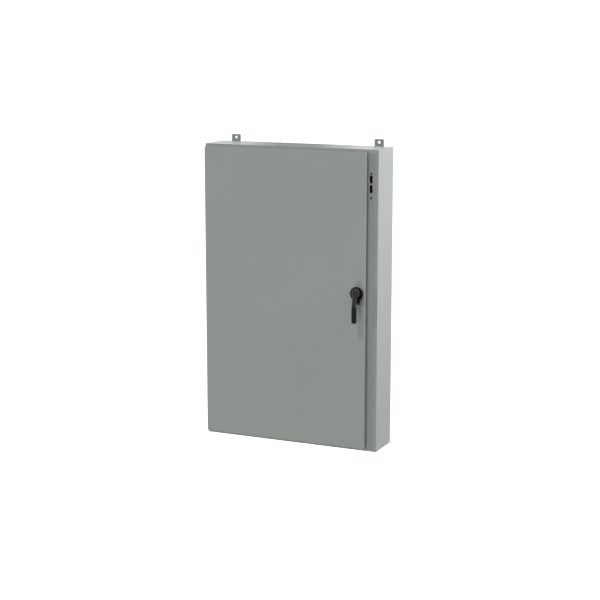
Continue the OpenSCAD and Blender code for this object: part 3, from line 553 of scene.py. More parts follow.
def melt(piece, voxel, passes):
    """Fuses a piece's overlapping forms into one casting with soft blends."""
    fuse = piece.modifiers.new("fuse", "REMESH")
    fuse.mode = "VOXEL"
    fuse.voxel_size = voxel * MM
    fuse.use_smooth_shade = True
    soften = piece.modifiers.new("soften", "SMOOTH")
    soften.factor = 0.5
    soften.iterations = passes


def oval(x, half_w, back_y, front_y, z, power=3.2, sides=40):
    """A level rounded-box outline round x, from back_y to front_y."""
    middle = (back_y + front_y) / 2
    half_d = abs(back_y - front_y) / 2

    def swell(value):
        return math.copysign(abs(value) ** (2 / power), value)

    turns = [k * math.tau / sides for k in range(sides)]
    return [(x + half_w * swell(math.cos(t)), middle + half_d * swell(math.sin(t)), z) for t in turns]


def mix(a, b, share):
    return a + (b - a) * share


def ease(share):
    return share * share * (3 - 2 * share)


SHEET_BEVEL = 0.9
PART_BEVEL = 0.4


def dress_cad_nodes():
    """Gives every CAD node its slot's material, or another finish for the hasp and the mounting feet, and
    the small bevels of a made part.
    """
    slots = {entry["node"]: entry["material_slot"] for entry in frame["record"]["subparts"]}
    sheet_nodes = {"back_sheet", "left_side", "right_side", "top_cap", "bottom_cap", "door_pan",
                   "mounting_feet", "door_stiffeners", "sub_panel"}
    # The mounting feet's finish is the shell paint darkened as painted shade.
    finishes = {"padlock_hasp": "escutcheon_black", "mounting_feet": "feet_paint"}
    for name, obj in frame["nodes"].items():
        obj.data.materials.clear()
        obj.data.materials.append(MATERIALS[finishes.get(name, slots[name])])
        soften_edges(obj, SHEET_BEVEL if name in sheet_nodes else PART_BEVEL)


# ---------------------------------------------------------------- door furniture
HUB_DEPTH = 20.0
LOCK_RISE = 14.0
STEM_R = 7.3


def handle_casting():
    """Hub, raised collar for the lock and the ribbed neck that steps out to the grip, cast in one."""
    low, high = corners("handle_lever")
    x, _, z = middle_of("handle_shaft")
    hub_r = (high.x - low.x) / 2
    hub_back = high.y
    hub_front = hub_back - HUB_DEPTH
    rise = high.z - z - hub_r
    neck_w = 11.6
    rib_r = 1.9
    form = Form()
    for up in (0, rise / 2, rise):
        form.spin([(0, 0), (hub_r, 0), (hub_r, 14), (hub_r - 1.5, 18), (hub_r - 5, 20.4), (0, 21)],
                  (x, hub_back, z + up), steps=48)
    steps = 14
    outlines = []
    for i in range(steps + 1):
        share = i / steps
        outlines.append(oval(x, mix(hub_r - 3, neck_w, ease(min(1, 1.6 * share))),
                             mix(hub_front + 9, hub_front + 1, ease(share)),
                             mix(hub_front - 3.5, low.y + 1.4, ease(share)), mix(z + 6, low.z, share)))
    form.loft(outlines)
    for side in (-1, 1):
        form.tube([(x + side * mix(8.5, 6.4, t / 10), mix(hub_front - 3.2, low.y + 1.2, ease(t / 10)),
                    mix(z - LOCK_RISE, low.z + 3, t / 10)) for t in range(3, 11)], rib_r)
    form.spin([(7.4, 0), (10.6, 0), (10.2, 3.2), (9.4, 4), (7.9, 4), (7.4, 3.2)],
              (x, hub_front, z + LOCK_RISE), steps=36)
    piece = form.done("handle_casting", "handle_black", "handle")
    melt(piece, voxel=0.75, passes=5)
    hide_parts("handle_lever")


def handle_lock():
    """Key cylinder in the collar of the hub."""
    x, _, z = middle_of("handle_shaft")
    face = corners("handle_lever")[1].y - HUB_DEPTH
    form = Form()
    form.spin([(0, 1.0), (4.6, 1.0, slot_rim), (4.6, 3.2, slot_rim), (5.6, 3.2), (6.2, 2.8), (6.4, 2.0),
               (STEM_R, 2.0), (STEM_R, -2.0)], (x, face, z + LOCK_RISE), steps=48)
    form.done("lock_cylinder", "zinc_steel", "handle", sharp=30)


def handle_sleeve():
    """Grip sleeve: straight sides, finger waves behind and a cap on its end."""
    low, high = corners("handle_grip")
    x = (low.x + high.x) / 2
    half_w = (high.x - low.x) / 2
    cap_top = low.z + 16
    waves = 5
    rows = 36
    form = Form()
    outlines = []
    for i in range(rows + 1):
        share = i / rows
        z = mix(high.z + 1.0, cap_top, share)
        wave = 0.7 * math.sin(share * waves * math.tau) * math.sin(math.pi * share)
        inset = 0.9 if i in (0, rows) else 0.0
        outlines.append(oval(x, half_w - 0.1 - inset, high.y - 0.8 + wave - inset,
                             low.y + 0.1 + inset, z, power=3.6))
    form.loft(outlines)
    sleeve = form.done("handle_sleeve", "grip_sleeve", "handle")
    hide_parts("handle_grip")

    form = Form()
    rows = 10
    outlines = []
    for i in range(rows + 1):
        share = i / rows
        turn = share * math.pi / 2
        pinch = 1 - math.cos(turn)
        drop = (cap_top - 0.6 - low.z) * math.sin(turn)
        outlines.append(oval(x, (half_w - 0.2) * (1 - 0.16 * pinch ** 2), high.y - 0.4 - 3 * pinch ** 2,
                             low.y + 0.2 + 3 * pinch ** 2, cap_top - 0.4 - drop, power=3.6))
    form.loft(outlines)
    form.done("handle_end_cap", "grip_sleeve", "handle")


def escutcheon_casting():
    """Round escutcheon with a rolled rim and a shallow groove inside it."""
    low, high = corners("escutcheon")
    radius = (high.x - low.x) / 2
    depth = high.y - low.y
    x, _, z = (low + high) / 2
    form = Form()
    form.spin([(STEM_R, 0), (radius, 0), (radius, depth - 3), (radius - 0.6, depth - 1.2),
               (radius - 2.2, depth), (radius - 4.2, depth - 0.1), (radius - 5.4, depth - 1.3),
               (radius - 9, depth - 1.4), (radius - 10.5, depth - 0.2), (radius - 12, depth),
               (STEM_R, depth), (STEM_R, 0.01)], (x, high.y, z), steps=72)
    piece = form.done("escutcheon_casting", "escutcheon_black", "door")
    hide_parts("escutcheon")


def gasket_strip():
    """Foam gasket of D section, laid round the door inside the rolled lip."""
    low, high = corners("door_gasket")
    half_w = 6.0
    corner_r = 12.0
    turns = 6
    path = []
    for sx, sz, start in ((1, 1, 0), (-1, 1, 90), (-1, -1, 180), (1, -1, 270)):
        cx = (high.x if sx > 0 else low.x) - sx * (half_w + corner_r)
        cz = (high.z if sz > 0 else low.z) - sz * (half_w + corner_r)
        for k in range(turns + 1):
            angle = math.radians(start + 90 * k / turns)
            path.append((cx, cz, angle))
    form = Form()
    rings = []
    for cx, cz, angle in path:
        out = Vector((math.cos(angle), 0, math.sin(angle)))
        middle = Vector((cx, low.y, cz)) + out * corner_r
        depth = high.y - low.y
        section = [(-half_w, 0), (half_w, 0)]
        section += [(half_w * math.cos(t), depth * (0.35 + 0.65 * math.sin(t)))
                    for t in (k * math.pi / 8 for k in range(9))]
        rings.append(form.ring([middle + out * across + BACK * rise for across, rise in section]))
    form.skin(rings, loop=True)
    piece = form.done("gasket_strip", "gasket_rubber", "door")
    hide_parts("door_gasket")


def door_inside_details():
    """Spot welds of the stiffeners, guide screws, bonding stud, and the end screw of the handle shaft."""
    sheet = 1.5
    face = corners("door_stiffeners")[0].y + sheet
    spot = [(0, 0.15), (2.4, 0.15), (3.2, 0.45), (4.0, 0.3), (4.4, -0.2)]
    count = 14
    end_gap = 30
    welds = Form()
    for low, high in solids("door_stiffeners"):
        for i in range(count):
            z = mix(low.z + end_gap, high.z - end_gap, i / (count - 1))
            for x in (low.x + 8, high.x - 8):
                welds.spin(spot, (x, face, z), BACK, 16)
    welds.done("stiffener_spot_welds", "shell_paint", "door")

    screws = Form()
    for low, high in solids("rod_guides"):
        x, _, z = (low + high) / 2
        for dx in (-5.5, 5.5):
            screws.pan_screw((x + dx, high.y, z), radius=3.2, out=BACK)
    screws.done("rod_guide_screws", "zinc_steel", "door")

    x, _, z = middle_of("handle_shaft")
    end = Form()
    end.socket_screw((x, corners("handle_shaft")[1].y, z), radius=4.8, out=BACK)
    end.done("handle_shaft_screw", "zinc_steel", "handle")

    stud = Form()
    foot = corners("door_pan")[0] + Vector((70, 1.9, 60))
    stud.spin([(7, 0), (7, 1.2), (3, 1.2), (3, 15), (2.4, 16), (0, 16)], foot, BACK)
    stud.nut(foot + BACK * 2.5, radius=6, out=BACK)
    stud.done("door_bonding_stud", "brass_stud", "door")


def rod_rivets():
    """Domed heads on the roller axles, one on each cheek of the forks."""
    for side in ("top", "bottom"):
        x, y, z = middle_of(f"{side}_roller")
        form = Form()
        for way in (-1, 1):
            form.spin([(0, 2.2), (1.8, 2.0), (3.6, 1.2), (4.4, 0)], (x + way * 11, y, z), RIGHT * way)
        form.done(f"{side}_roller_rivets", "zinc_steel", f"{side}_rod")


def drawings_in_pocket():
    """A few folded sheets of paper standing in the pocket."""
    low, high = corners("document_pocket")
    form = Form()
    for i, (inset, top) in enumerate(((18, 46), (22, 38), (30, 52))):
        y = low.y + 4.5 + 3.4 * i
        rows = 12
        outlines = []
        for k in range(rows + 1):
            share = k / rows
            x = mix(low.x + inset, high.x - inset, share)
            bow = 1.3 * math.sin(math.pi * share + 0.5 * i)
            outlines.append([(x, y + bow, low.z + 4), (x, y + bow + 1.1, low.z + 4),
                             (x, y + bow + 1.5, high.z + top), (x, y + bow + 0.4, high.z + top)])
        form.loft(outlines)
    form.done("drawing_sheets", "paper", "door")


# ---------------------------------------------------------------- body details
def weld_beads():
    """Beads that hold the feet to the back, and the seams in the inner corners of the body."""
    form = Form()
    back_low, back_high = corners("back_sheet")
    for low, high in solids("mounting_feet"):
        below = low.z < 0
        edge_z = back_low.z if below else back_high.z
        end_z = high.z if below else low.z
        y = low.y
        route = [(low.x, y, mix(edge_z, end_z, i / 12)) for i in range(13)]
        route += [(mix(low.x, high.x, i / 14), y, end_z) for i in range(1, 14)]
        route += [(high.x, y, mix(end_z, edge_z, i / 12)) for i in range(13)]
        form.tube(route, radius=1.7, ripple=0.12)
    side_low, side_high = corners("left_side")
    right_edge = corners("right_side")[1].x
    rows = 40
    for x in (side_low.x + 2.4, right_edge - 2.4):
        for z in (side_low.z + 0.6, side_high.z - 0.6):
            form.tube([(x, mix(side_low.y + 6, side_high.y - 4, i / rows), z) for i in range(rows + 1)],
                      radius=1.6, ripple=0.14)
    form.done("weld_beads", "shell_paint")


def stud_threads():
    """Thread crests on the ends of the sub-panel studs."""
    form = Form()
    pitch = 1.6
    for low, high in solids("panel_studs"):
        x, _, z = (low + high) / 2
        rows = [(4.3, 0)]
        for i in range(6):
            rows += [(5.1, (i + 0.35) * pitch), (4.4, (i + 0.85) * pitch)]
        rows += [(3.4, 6.4 * pitch), (0, 6.4 * pitch)]
        form.spin(rows, (x, low.y + 9.6, z))
    form.done("stud_threads", "zinc_steel")


def bar_details():
    """Slotted wire screws on both terminal bars, skirts on their insulators and the bolts through them."""
    screws = Form()
    for node, count in (("ground_bar", 12), ("neutral_bar", 10)):
        low, high = corners(node)
        for i in range(count):
            x = mix(low.x, high.x, (i + 0.5) / count)
            screws.pan_screw((x, low.y, (low.z + high.z) / 2), radius=4.2, recess=slot_rim)
    screws.done("bar_wire_screws", "zinc_steel")

    skirts = Form()
    bolts = Form()
    bolt_y = corners("ground_bar")[0].y + 3
    for low, high in solids("bar_insulators"):
        x, _, z = (low + high) / 2
        for height in (6, 13, 20):
            skirts.spin([(8, height - 1.6), (13.2, height - 0.8), (13.6, height), (13.2, height + 0.8),
                         (8, height + 1.6)], (x, high.y, z), steps=32)
        bolts.hex_bolt((x, bolt_y, z), radius=5)
    skirts.done("insulator_skirts", "insulator_red")
    bolts.done("bar_bolts", "zinc_steel")


# ---------------------------------------------------------------- switches
POLE_PITCH = 45


def switch_face(source):
    """Where the middle of a switch's front face is."""
    low, high = corners(f"{source}_switch_cover")
    return (low.x + high.x) / 2, low.y + 12, (low.z + high.z) / 2


def switch_trim(source):
    """Arc vents, pole ribs, toggle frame and border of a switch's cover."""
    low, high = corners(f"{source}_switch_cover")
    x, face, z = switch_face(source)
    vents = 6
    vent_pitch = 5.4
    trim = Form()
    for way in (-1, 1):
        for pole in (-0.5, 0.5):
            trim.box(*about(x + pole * POLE_PITCH, z + way * 67, 0.7, 28, face - 1.2, face + 1))
        for pole in (-1, 0, 1):
            for i in range(vents):
                vent_x = x + pole * POLE_PITCH + (i - (vents - 1) / 2) * vent_pitch
                trim.box(*about(vent_x, z + way * 86, 1.3, 6, face - 1.0, face + 1))
    trim.frame(*about(x, z, 18, 31, low.y - 1.4, low.y + 1), border=3.6)
    trim.frame(*inside(low, high, 3, face - 0.9, face + 1), border=1.4)
    trim.done(f"{source}_cover_trim", "switch_plastic", edge=0.25)


def switch_screws(source):
    """The four screws of a switch's cover."""
    x, face, z = switch_face(source)
    boss_h = 4.6
    screws = Form()
    for screw_x, screw_z in four_points(*about(x, z, 58, 80, face, face)):
        screws.pan_screw((screw_x, face + boss_h, screw_z), radius=3.9)
    screws.done(f"{source}_cover_screws", "zinc_steel")


def switch_adjusters(source):
    """Three trip dials with their ticks, and the red trip button beside them."""
    x, face, z = switch_face(source)
    row_z = z - 56
    dial_pitch = 26
    tick_r = 9.4
    dials = Form()
    for i in range(3):
        centre = Vector((x - 44 + dial_pitch * i, face, row_z))
        dials.spin([(0, 0.6), (4.2, 0.8, slot_rim), (4.2, 2.2, slot_rim), (5.2, 2.2), (5.8, 1.6),
                    (5.8, 0.5), (7.4, 0.5), (7.8, 0)], centre, steps=48)
        for degrees in range(-30, 211, 30):
            angle = math.radians(degrees)
            tick = centre + Vector((math.cos(angle), 0, math.sin(angle))) * tick_r
            dials.spin([(0, 0.5), (0.55, 0.45), (0.75, 0)], tick, steps=8)
    dials.done(f"{source}_adjusters", "toggle_white", sharp=30)

    trip = Form()
    trip.spin([(0, 3.4), (2.8, 3.2), (3.6, 2.4), (3.6, 0.8), (4.6, 0.8), (5.0, 0)],
              (x + 46, face, row_z), steps=32)
    trip.done(f"{source}_trip_button", "insulator_red")


def switch_plate(source):
    """The blank rating plate of a switch, held by a rivet at each end."""
    x, face, z = switch_face(source)
    plate_z = z + 59
    rivet = [(0, 1.3), (0.9, 1.2), (1.5, 0.6), (1.7, 0)]
    plate = Form()
    plate.box(*about(x, plate_z, 40, 9, face - 0.7, face + 0.5))
    for dx in (-36, 36):
        plate.spin(rivet, (x + dx, face, plate_z), steps=12)
    plate.done(f"{source}_blank_plate", "lug_aluminium", edge=0.2)


def toggle_grips(source):
    """Ribs across the tip of a toggle, where a thumb would push it."""
    low, high = corners(f"{source}_toggle")
    pivot = Vector(((low.x + high.x) / 2, high.y - 9, middle_of(f"{source}_switch_cover").z))
    tilt = math.radians(17)
    along = Vector((0, -math.cos(tilt), math.sin(tilt)))
    across = Vector((0, math.sin(tilt), math.cos(tilt)))
    form = Form()
    for way in (-1, 1):
        for i in range(4):
            middle = pivot + along * (57 + 2.2 * i) + across * (4.9 * way)
            form.tube([middle + RIGHT * dx for dx in (-9.5, -4, 4, 9.5)], radius=0.75)
    form.done(f"{source}_toggle_ribs", "toggle_white", f"{source}_toggle")


def bus_details():
    """Bolts through the load bars, and the ribbed standoffs that carry them."""
    bolts = Form()
    posts = Form()
    panel_y = corners("sub_panel")[0].y
    load_lugs = [box for box in solids("terminal_lugs") if box[1].x < corners("load_bus")[0].x + 40]
    lug_end = load_lugs[0][1].x
    bars = sorted(solids("load_bus"), key=lambda bar: bar[1].x)
    bar_thick = 5
    ribs = 5
    for (lug_low, lug_high), (bar_low, bar_high) in zip(load_lugs, bars):
        level = (lug_low.z + lug_high.z) / 2
        bolts.hex_bolt((bar_high.x - 10, bar_low.y, level), radius=6)
        for dx in (14, 30):
            bolts.hex_bolt((lug_end + dx, bar_low.y, level), radius=4.2)
        depth = panel_y - (bar_low.y + bar_thick)
        rows = [(9, 0)]
        for k in range(ribs):
            height = (k + 0.5) * depth / ribs
            rows += [(9, height - 2.4), (13.5, height - 0.6), (13.5, height + 0.6), (9, height + 2.4)]
        rows += [(9, depth), (0, depth)]
        posts.spin(rows, (lug_end + 30, panel_y, level), steps=32)
    bolts.done("bus_bolts", "zinc_steel")
    posts.done("bus_standoffs", "insulator_red")


# ---------------------------------------------------------------- operator and controls
def operator_bolts():
    """Bolts through the operator's frame and the nuts on its guide rods."""
    low, high = corners("operator_frame")
    rod_low, rod_high = corners("guide_rods")
    rod_y = (rod_low.y + rod_high.y) / 2
    rod_r = 4
    plate_thick = 3
    face = high.y - plate_thick
    bolts = Form()
    for x, z in four_points((low.x + 6, face, low.z + 28), (low.x + 50, face, high.z - 28)):
        bolts.socket_screw((x, face, z), radius=4.0)
    for x in (rod_low.x + rod_r, rod_high.x - rod_r):
        for z, out in ((rod_low.z, -UP), (rod_high.z, UP)):
            bolts.nut((x, rod_y, z), radius=7, out=out)
    bolts.done("operator_bolts", "zinc_steel")


def housing_details():
    """Rim, ribs and bearing boss of the gear housing, its screws and its oil plug."""
    low, high = corners("gear_housing")
    face = low.y + 5
    rib_pitch = 8
    lid = Form()
    lid.frame(*inside(low, high, 3, face - 1.6, face + 1), border=9)
    for i in range(4):
        x = low.x + 46 + rib_pitch * i
        lid.box((x, face - 2.4, low.z + 24), (x + 3, face + 1, high.z - 24))
    lid.spin([(15.2, 4.9), (18.5, 3.5), (20, 0)], (low.x + 16, face, (low.z + high.z) / 2), steps=48)
    lid.done("housing_ribs", "cast_aluminium", edge=0.5)

    screws = Form()
    for x, z in four_points((low.x + 8, face, low.z + 8), (low.x + 82, face, high.z - 8)):
        screws.socket_screw((x, face - 3, z), radius=3.8)
    screws.hex_bolt((high.x - 22, face, low.z + 16), radius=5)
    screws.done("housing_screws", "zinc_steel")


MOTOR_R = 34.0
MOTOR_FLANGE_R = MOTOR_R + 4


def motor_axis():
    """The x and y of the upright motor's axis, which is one flange radius in front of its back."""
    low, high = corners("drive_motor")
    return (low.x + high.x) / 2, high.y - MOTOR_FLANGE_R


def motor_fins():
    """Cooling fins all round the motor, except where its terminal box stands."""
    low, high = corners("drive_motor")
    axis = Vector((*motor_axis(), 0))
    count = 36
    half_thick = 0.9
    box_side = -0.72
    fins = Form()
    for k in range(count):
        angle = k * math.tau / count
        out = Vector((math.cos(angle), math.sin(angle), 0))
        if out.y < box_side:
            continue
        side = Vector((-out.y, out.x, 0)) * half_thick
        foot = axis + out * (MOTOR_R - 1)
        tip = axis + out * (MOTOR_R + 3)
        fins.loft([[p + UP * z for p in (foot - side, tip - side * 0.6, tip + side * 0.6, foot + side)]
                   for z in (low.z + 18, high.z - 12)])
    fins.done("motor_fins", "motor_paint", edge=0.2)


def motor_box():
    """End-bell bolts, then the lid of the terminal box, its screws and the gland of the lead."""
    low, _ = corners("drive_motor")
    x, y = motor_axis()
    box_z = low.z + 52
    bolt_ring_r = 24
    bolts = Form()
    for degrees in range(45, 360, 90):
        angle = math.radians(degrees)
        bolts.hex_bolt((x + bolt_ring_r * math.cos(angle), y + bolt_ring_r * math.sin(angle), low.z),
                       radius=3.2, out=-UP)
    for screw_x, screw_z in four_points(*about(x, box_z, 14, 19, low.y, low.y)):
        bolts.pan_screw((screw_x, low.y - 1.6, screw_z), radius=2.2)
    bolts.done("motor_screws", "zinc_steel")

    lid = Form()
    lid.box(*about(x, box_z, 18.6, 25, low.y - 1.6, low.y + 0.4))
    lid.frame(*about(x, box_z, 10, 12, low.y - 2.4, low.y - 1), border=1.2)
    lid.done("motor_box_lid", "motor_paint", edge=0.5)

    gland = Form()
    gland.spin([(7.5, -1), (7.5, 4, hex_rim), (6.4, 4.2), (6.4, 6), (6.9, 6), (6.9, 10, hex_rim), (5, 12.5),
                (3.2, 13), (0, 13)], (x + 18, y - MOTOR_FLANGE_R, box_z - 1), RIGHT)
    gland.done("motor_gland", "guide_plastic")


CONTROLLER_FACE = 2.0
ROW_START = -60


def controller_bezel():
    """Rims round the display and the case's front, and ribs down both sides of the case."""
    low, high = corners("controller_case")
    screen_low, screen_high = corners("controller_display")
    face = low.y + CONTROLLER_FACE
    rib_pitch = 11
    bezel = Form()
    bezel.frame(*inside(screen_low, screen_high, -6, face - 1.8, face + 1), border=5.4)
    bezel.frame(*inside(low, high, 4, face - 0.8, face + 1), border=1.6)
    for i in range(9):
        z = low.z + 26 + rib_pitch * i
        for left, right in ((low.x - 0.8, low.x + 0.5), (high.x - 0.5, high.x + 0.8)):
            bezel.box((left, face + 14, z), (right, face + 46, z + 4))
    bezel.done("controller_bezel", "guide_plastic", edge=0.35)


def controller_keys():
    """Four soft keys under the display."""
    low, high = corners("controller_case")
    face = low.y + CONTROLLER_FACE
    key_pitch = 24
    key_z = low.z + 16
    keys = Form()
    for i in range(4):
        x = (low.x + high.x) / 2 + ROW_START + key_pitch * i
        keys.loft([[(x + sx * grow, y, key_z + sz * (grow - 4.5))
                    for sx, sz in ((-1, -1), (1, -1), (1, 1), (-1, 1))]
                   for y, grow in ((face + 0.5, 9.0), (face - 1.2, 8.8), (face - 1.9, 8.0))])
    keys.done("controller_keys", "gasket_rubber", edge=0.4)


def controller_lamps():
    """Three lamp lenses, and the screws in the corners of the case."""
    low, high = corners("controller_case")
    lamp_pitch = 30
    lamp_z = corners("test_button")[0].z + 8
    for i, name in enumerate(("green", "amber", "red")):
        x = (low.x + high.x) / 2 + ROW_START + lamp_pitch * i
        lens = Form()
        lens.spin([(0, 2.6), (1.6, 2.3), (2.9, 1.3), (3.4, 0)], (x, low.y, lamp_z), steps=32)
        lens.done(f"lamp_lens_{name}", f"lamp_{name}")

    face = low.y + CONTROLLER_FACE
    screws = Form()
    for x, z in four_points(*inside(low, high, 10, face, face)):
        screws.pan_screw((x, face, z), radius=3.4)
    screws.done("controller_screws", "zinc_steel")


def test_button_details():
    """The collar round the test button and the dished cap on it."""
    face = corners("controller_case")[0].y + CONTROLLER_FACE
    front = corners("test_button")[0].y
    x, _, z = middle_of("test_button")
    collar = Form()
    collar.spin([(8.5, -2), (12.5, -2), (12.5, 1.2), (11.4, 2.4), (9.2, 2.4), (8.5, 1.8), (8.5, -1.9)],
                (x, face, z), steps=48)
    collar.done("button_collar", "zinc_steel")
    cap = Form()
    cap.spin([(0, 0.5), (4.5, 0.65), (6.4, 1.2), (7.4, 1.1), (7.8, 0)], (x, front, z), steps=40)
    cap.done("button_cap", "toggle_white", "test_button")


def transformer_details():
    """Wound coils with bobbin cheeks, terminal strips and core bolts."""
    rows = 8
    cheek = 1.5
    coils = Form()
    cheeks = Form()
    for low, high in solids("transformer_coil"):
        x = (low.x + high.x) / 2
        half_w = (high.x - low.x) / 2
        coils.loft([oval(x, half_w - 1.2 - 0.7 * (k in (0, rows)), high.y - 1, low.y + 1,
                         mix(low.z + 1.8, high.z - 1.8, k / rows), power=7, sides=56)
                    for k in range(rows + 1)])
        for z in (low.z, high.z - cheek):
            cheeks.loft([oval(x, half_w - 0.2, high.y + cheek, low.y - cheek, z + dz, power=9, sides=56)
                         for dz in (0, cheek)])
    coil = coils.done("transformer_windings", "coil_copper")
    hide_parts("transformer_coil")
    cheeks.done("bobbin_cheeks", "terminal_plastic")

    strips = Form()
    bolts = Form()
    poles = 4
    for low, high in solids("transformer_core"):
        face = low.y
        left, right = low.x + 18, high.x - 18
        bottom, top = high.z - 12, high.z + 3
        strips.box((left, face - 3, bottom), (right, face + 12, top))
        for i in range(poles + 1):
            x = mix(left, right, i / poles)
            strips.box((x - 1.2, face - 7, bottom), (x + 1.2, face - 2, top))
        for i in range(poles):
            bolts.pan_screw((mix(left, right, (i + 0.5) / poles), face - 3, (bottom + top) / 2), radius=3.4)
        for x, z in four_points(*inside(low, high, 8, face, face)):
            bolts.hex_bolt((x, face, z), radius=4.2)
    strips.done("transformer_terminals", "switch_plastic", edge=0.4)
    bolts.done("transformer_bolts", "zinc_steel")


def relay_details():
    """Wire bails, test levers, socket screws and window rims of the plug-in relays."""
    clips = Form()
    levers = Form()
    screws = Form()
    vents = Form()
    for low, high in solids("relays"):
        x, _, z = (low + high) / 2
        shoulder = low.y + 38
        half_bail = [(12, shoulder, 25), (12, low.y - 0.2, 23), (10, low.y - 1.6, 22)]
        for way in (-1, 1):
            route = [(x - dx, y, z + way * dz) for dx, y, dz in half_bail]
            route += [(x + dx, y, z + way * dz) for dx, y, dz in reversed(half_bail)]
            clips.tube(route, radius=0.8)
            for dx in (-6, 6):
                screws.pan_screw((x + dx, shoulder, z + way * 31), radius=3.2)
        levers.loft([oval(x, 3.4, low.y + 0.5, low.y - 2.2, z + dz, power=6, sides=24) for dz in (8, 15)])
        vents.frame((low.x + 3.2, low.y - 0.7, z - 19), (high.x - 3.2, low.y + 0.5, z + 4), border=1.1)
    clips.done("relay_clips", "zinc_steel")
    levers.done("relay_test_levers", "manual_orange", edge=0.3)
    screws.done("relay_socket_screws", "zinc_steel")
    vents.done("relay_windows", "relay_plastic", edge=0.2)


def hat_rails():
    """Top-hat rails folded from thin strip, with their fixing screws."""
    thick = 1.2
    lip = 4.2
    rails = Form()
    screws = Form()
    for low, high in solids("din_rails"):
        lip_y, foot_y = low.y, high.y
        bottom, top = low.z + lip, high.z - lip
        section = [(low.z, lip_y), (bottom, lip_y), (bottom, foot_y - thick), (top, foot_y - thick),
                   (top, lip_y), (high.z, lip_y), (high.z, lip_y + thick), (top + thick, lip_y + thick),
                   (top + thick, foot_y), (bottom - thick, foot_y), (bottom - thick, lip_y + thick),
                   (low.z, lip_y + thick)]
        rails.loft([[(x, y, z) for z, y in section] for x in (low.x, high.x)])
        for x in (low.x + 8, high.x - 8):
            screws.pan_screw((x, foot_y - thick, (low.z + high.z) / 2), radius=4)
    piece = rails.done("hat_rails", "zinc_steel", edge=0.3)
    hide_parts("din_rails")
    screws.done("rail_screws", "zinc_steel")


def terminal_details():
    """Clamp screws, blank marker tags and end stops of the terminal row."""
    screws = Form()
    tags = Form()
    for low, high in solids("terminal_blocks"):
        x, _, z = (low + high) / 2
        for dz in (-21, 21):
            screws.pan_screw((x, low.y + 15.5, z + dz), radius=2.3, recess=slot_rim)
        tags.box(*about(x, z, 2.9, 3.2, low.y - 0.7, low.y + 0.4))
    screws.done("terminal_screws", "zinc_steel")
    tags.done("blank_marker_tags", "toggle_white", edge=0.25)

    stops = Form()
    stop_w = 7.8
    low, high = corners("terminal_blocks")
    face = low.y + 10
    for x in (low.x - 8.5, high.x + 0.7):
        stops.box((x, face, low.z + 4), (x + stop_w, high.y, high.z - 4))
        stops.pan_screw((x + stop_w / 2, face, (low.z + high.z) / 2), radius=2.6)
    stops.done("terminal_end_stops", "controller_plastic", edge=0.4)


def duct_details():
    """Two ribs along every duct cover."""
    ribs = Form()
    for low, high in solids("duct_covers"):
        upright = high.z - low.z > high.x - low.x
        front, back = low.y - 0.9, low.y + 0.5
        for share in (0.14, 0.86):
            if upright:
                x = mix(low.x, high.x, share)
                ribs.box((x - 1, front, low.z + 0.5), (x + 1, back, high.z - 0.5))
            else:
                z = mix(low.z, high.z, share)
                ribs.box((low.x + 0.5, front, z - 1), (high.x - 0.5, back, z + 1))
    ribs.done("duct_cover_ribs", "duct_plastic", edge=0.3)


def leads():
    """Control wires with a ferrule at each end, each bowed its own small way, and the motor's lead."""
    wires = Form()
    ferrules = Form()
    draw = random.Random(7)
    rows = 9
    for low, high in solids("control_leads"):
        x, y, _ = (low + high) / 2
        radius = (high.x - low.x) / 2
        if high.x - low.x > 8:
            motor_lead(wires, low, high)
            continue
        bow = draw.uniform(-1, 1) * radius * 0.7
        lean = draw.uniform(-1, 1) * radius * 0.7
        shares = [k / rows for k in range(rows + 1)]
        wires.tube([(x + bow * math.sin(math.pi * share), y + lean * math.sin(math.pi * share),
                     mix(low.z, high.z, share)) for share in shares], radius * 0.92)
        for z, out in ((low.z, UP), (high.z, -UP)):
            ferrules.spin([(radius * 1.22, 0), (radius * 1.22, 4.5), (radius * 1.02, 6), (0, 6)],
                          (x, y, z), out, 16)
    piece = wires.done("control_wires", "wire_red")
    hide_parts("control_leads")
    ferrules.done("wire_ferrules", "controller_plastic")


def motor_lead(form, low, high):
    """The motor's lead: out of its gland, then a relaxed S into the duct."""
    radius = (high.z - low.z) / 2
    z = (low.z + high.z) / 2
    rows = 16
    form.tube([(mix(low.x, high.x, k / rows), mix(low.y + radius, high.y - radius, ease(k / rows)), z)
               for k in range(rows + 1)], radius, sides=16)


def build_details():
    handle_casting()
    handle_lock()
    handle_sleeve()
    escutcheon_casting()
    gasket_strip()
    door_inside_details()
    rod_rivets()
    drawings_in_pocket()
    weld_beads()
    stud_threads()
    bar_details()
    for source in ("normal", "emergency"):
        switch_trim(source)
        switch_screws(source)
        switch_adjusters(source)
        switch_plate(source)
        toggle_grips(source)
    bus_details()
    operator_bolts()
    housing_details()
    motor_fins()
    motor_box()
    controller_bezel()
    controller_keys()
    controller_lamps()
    test_button_details()
    transformer_details()
    relay_details()
    hat_rails()
    terminal_details()
    duct_details()
    leads()


dress_cad_nodes()
build_details()


# ---------------------------------------------------------------- studio
WHITE = (1.0, 1.0, 1.0, 1.0)
FRONT_LEVEL = 0.40
ZENITH_LEVEL = 0.5
BACKDROP_LEVEL = 1.05


def make_camera():
    data = bpy.data.cameras.new("camera")
    data.sensor_width = 36.0
    data.lens = 89.86
    camera = bpy.data.objects.new("camera", data)
    camera.location = (3.111, -7.000, 1.401)
    yaw = math.radians(24.21)
    pitch = math.radians(10.74)
    camera.rotation_euler = (math.pi / 2 - pitch, 0.0, yaw)
    bpy.context.scene.collection.objects.link(camera)
    bpy.context.scene.camera = camera


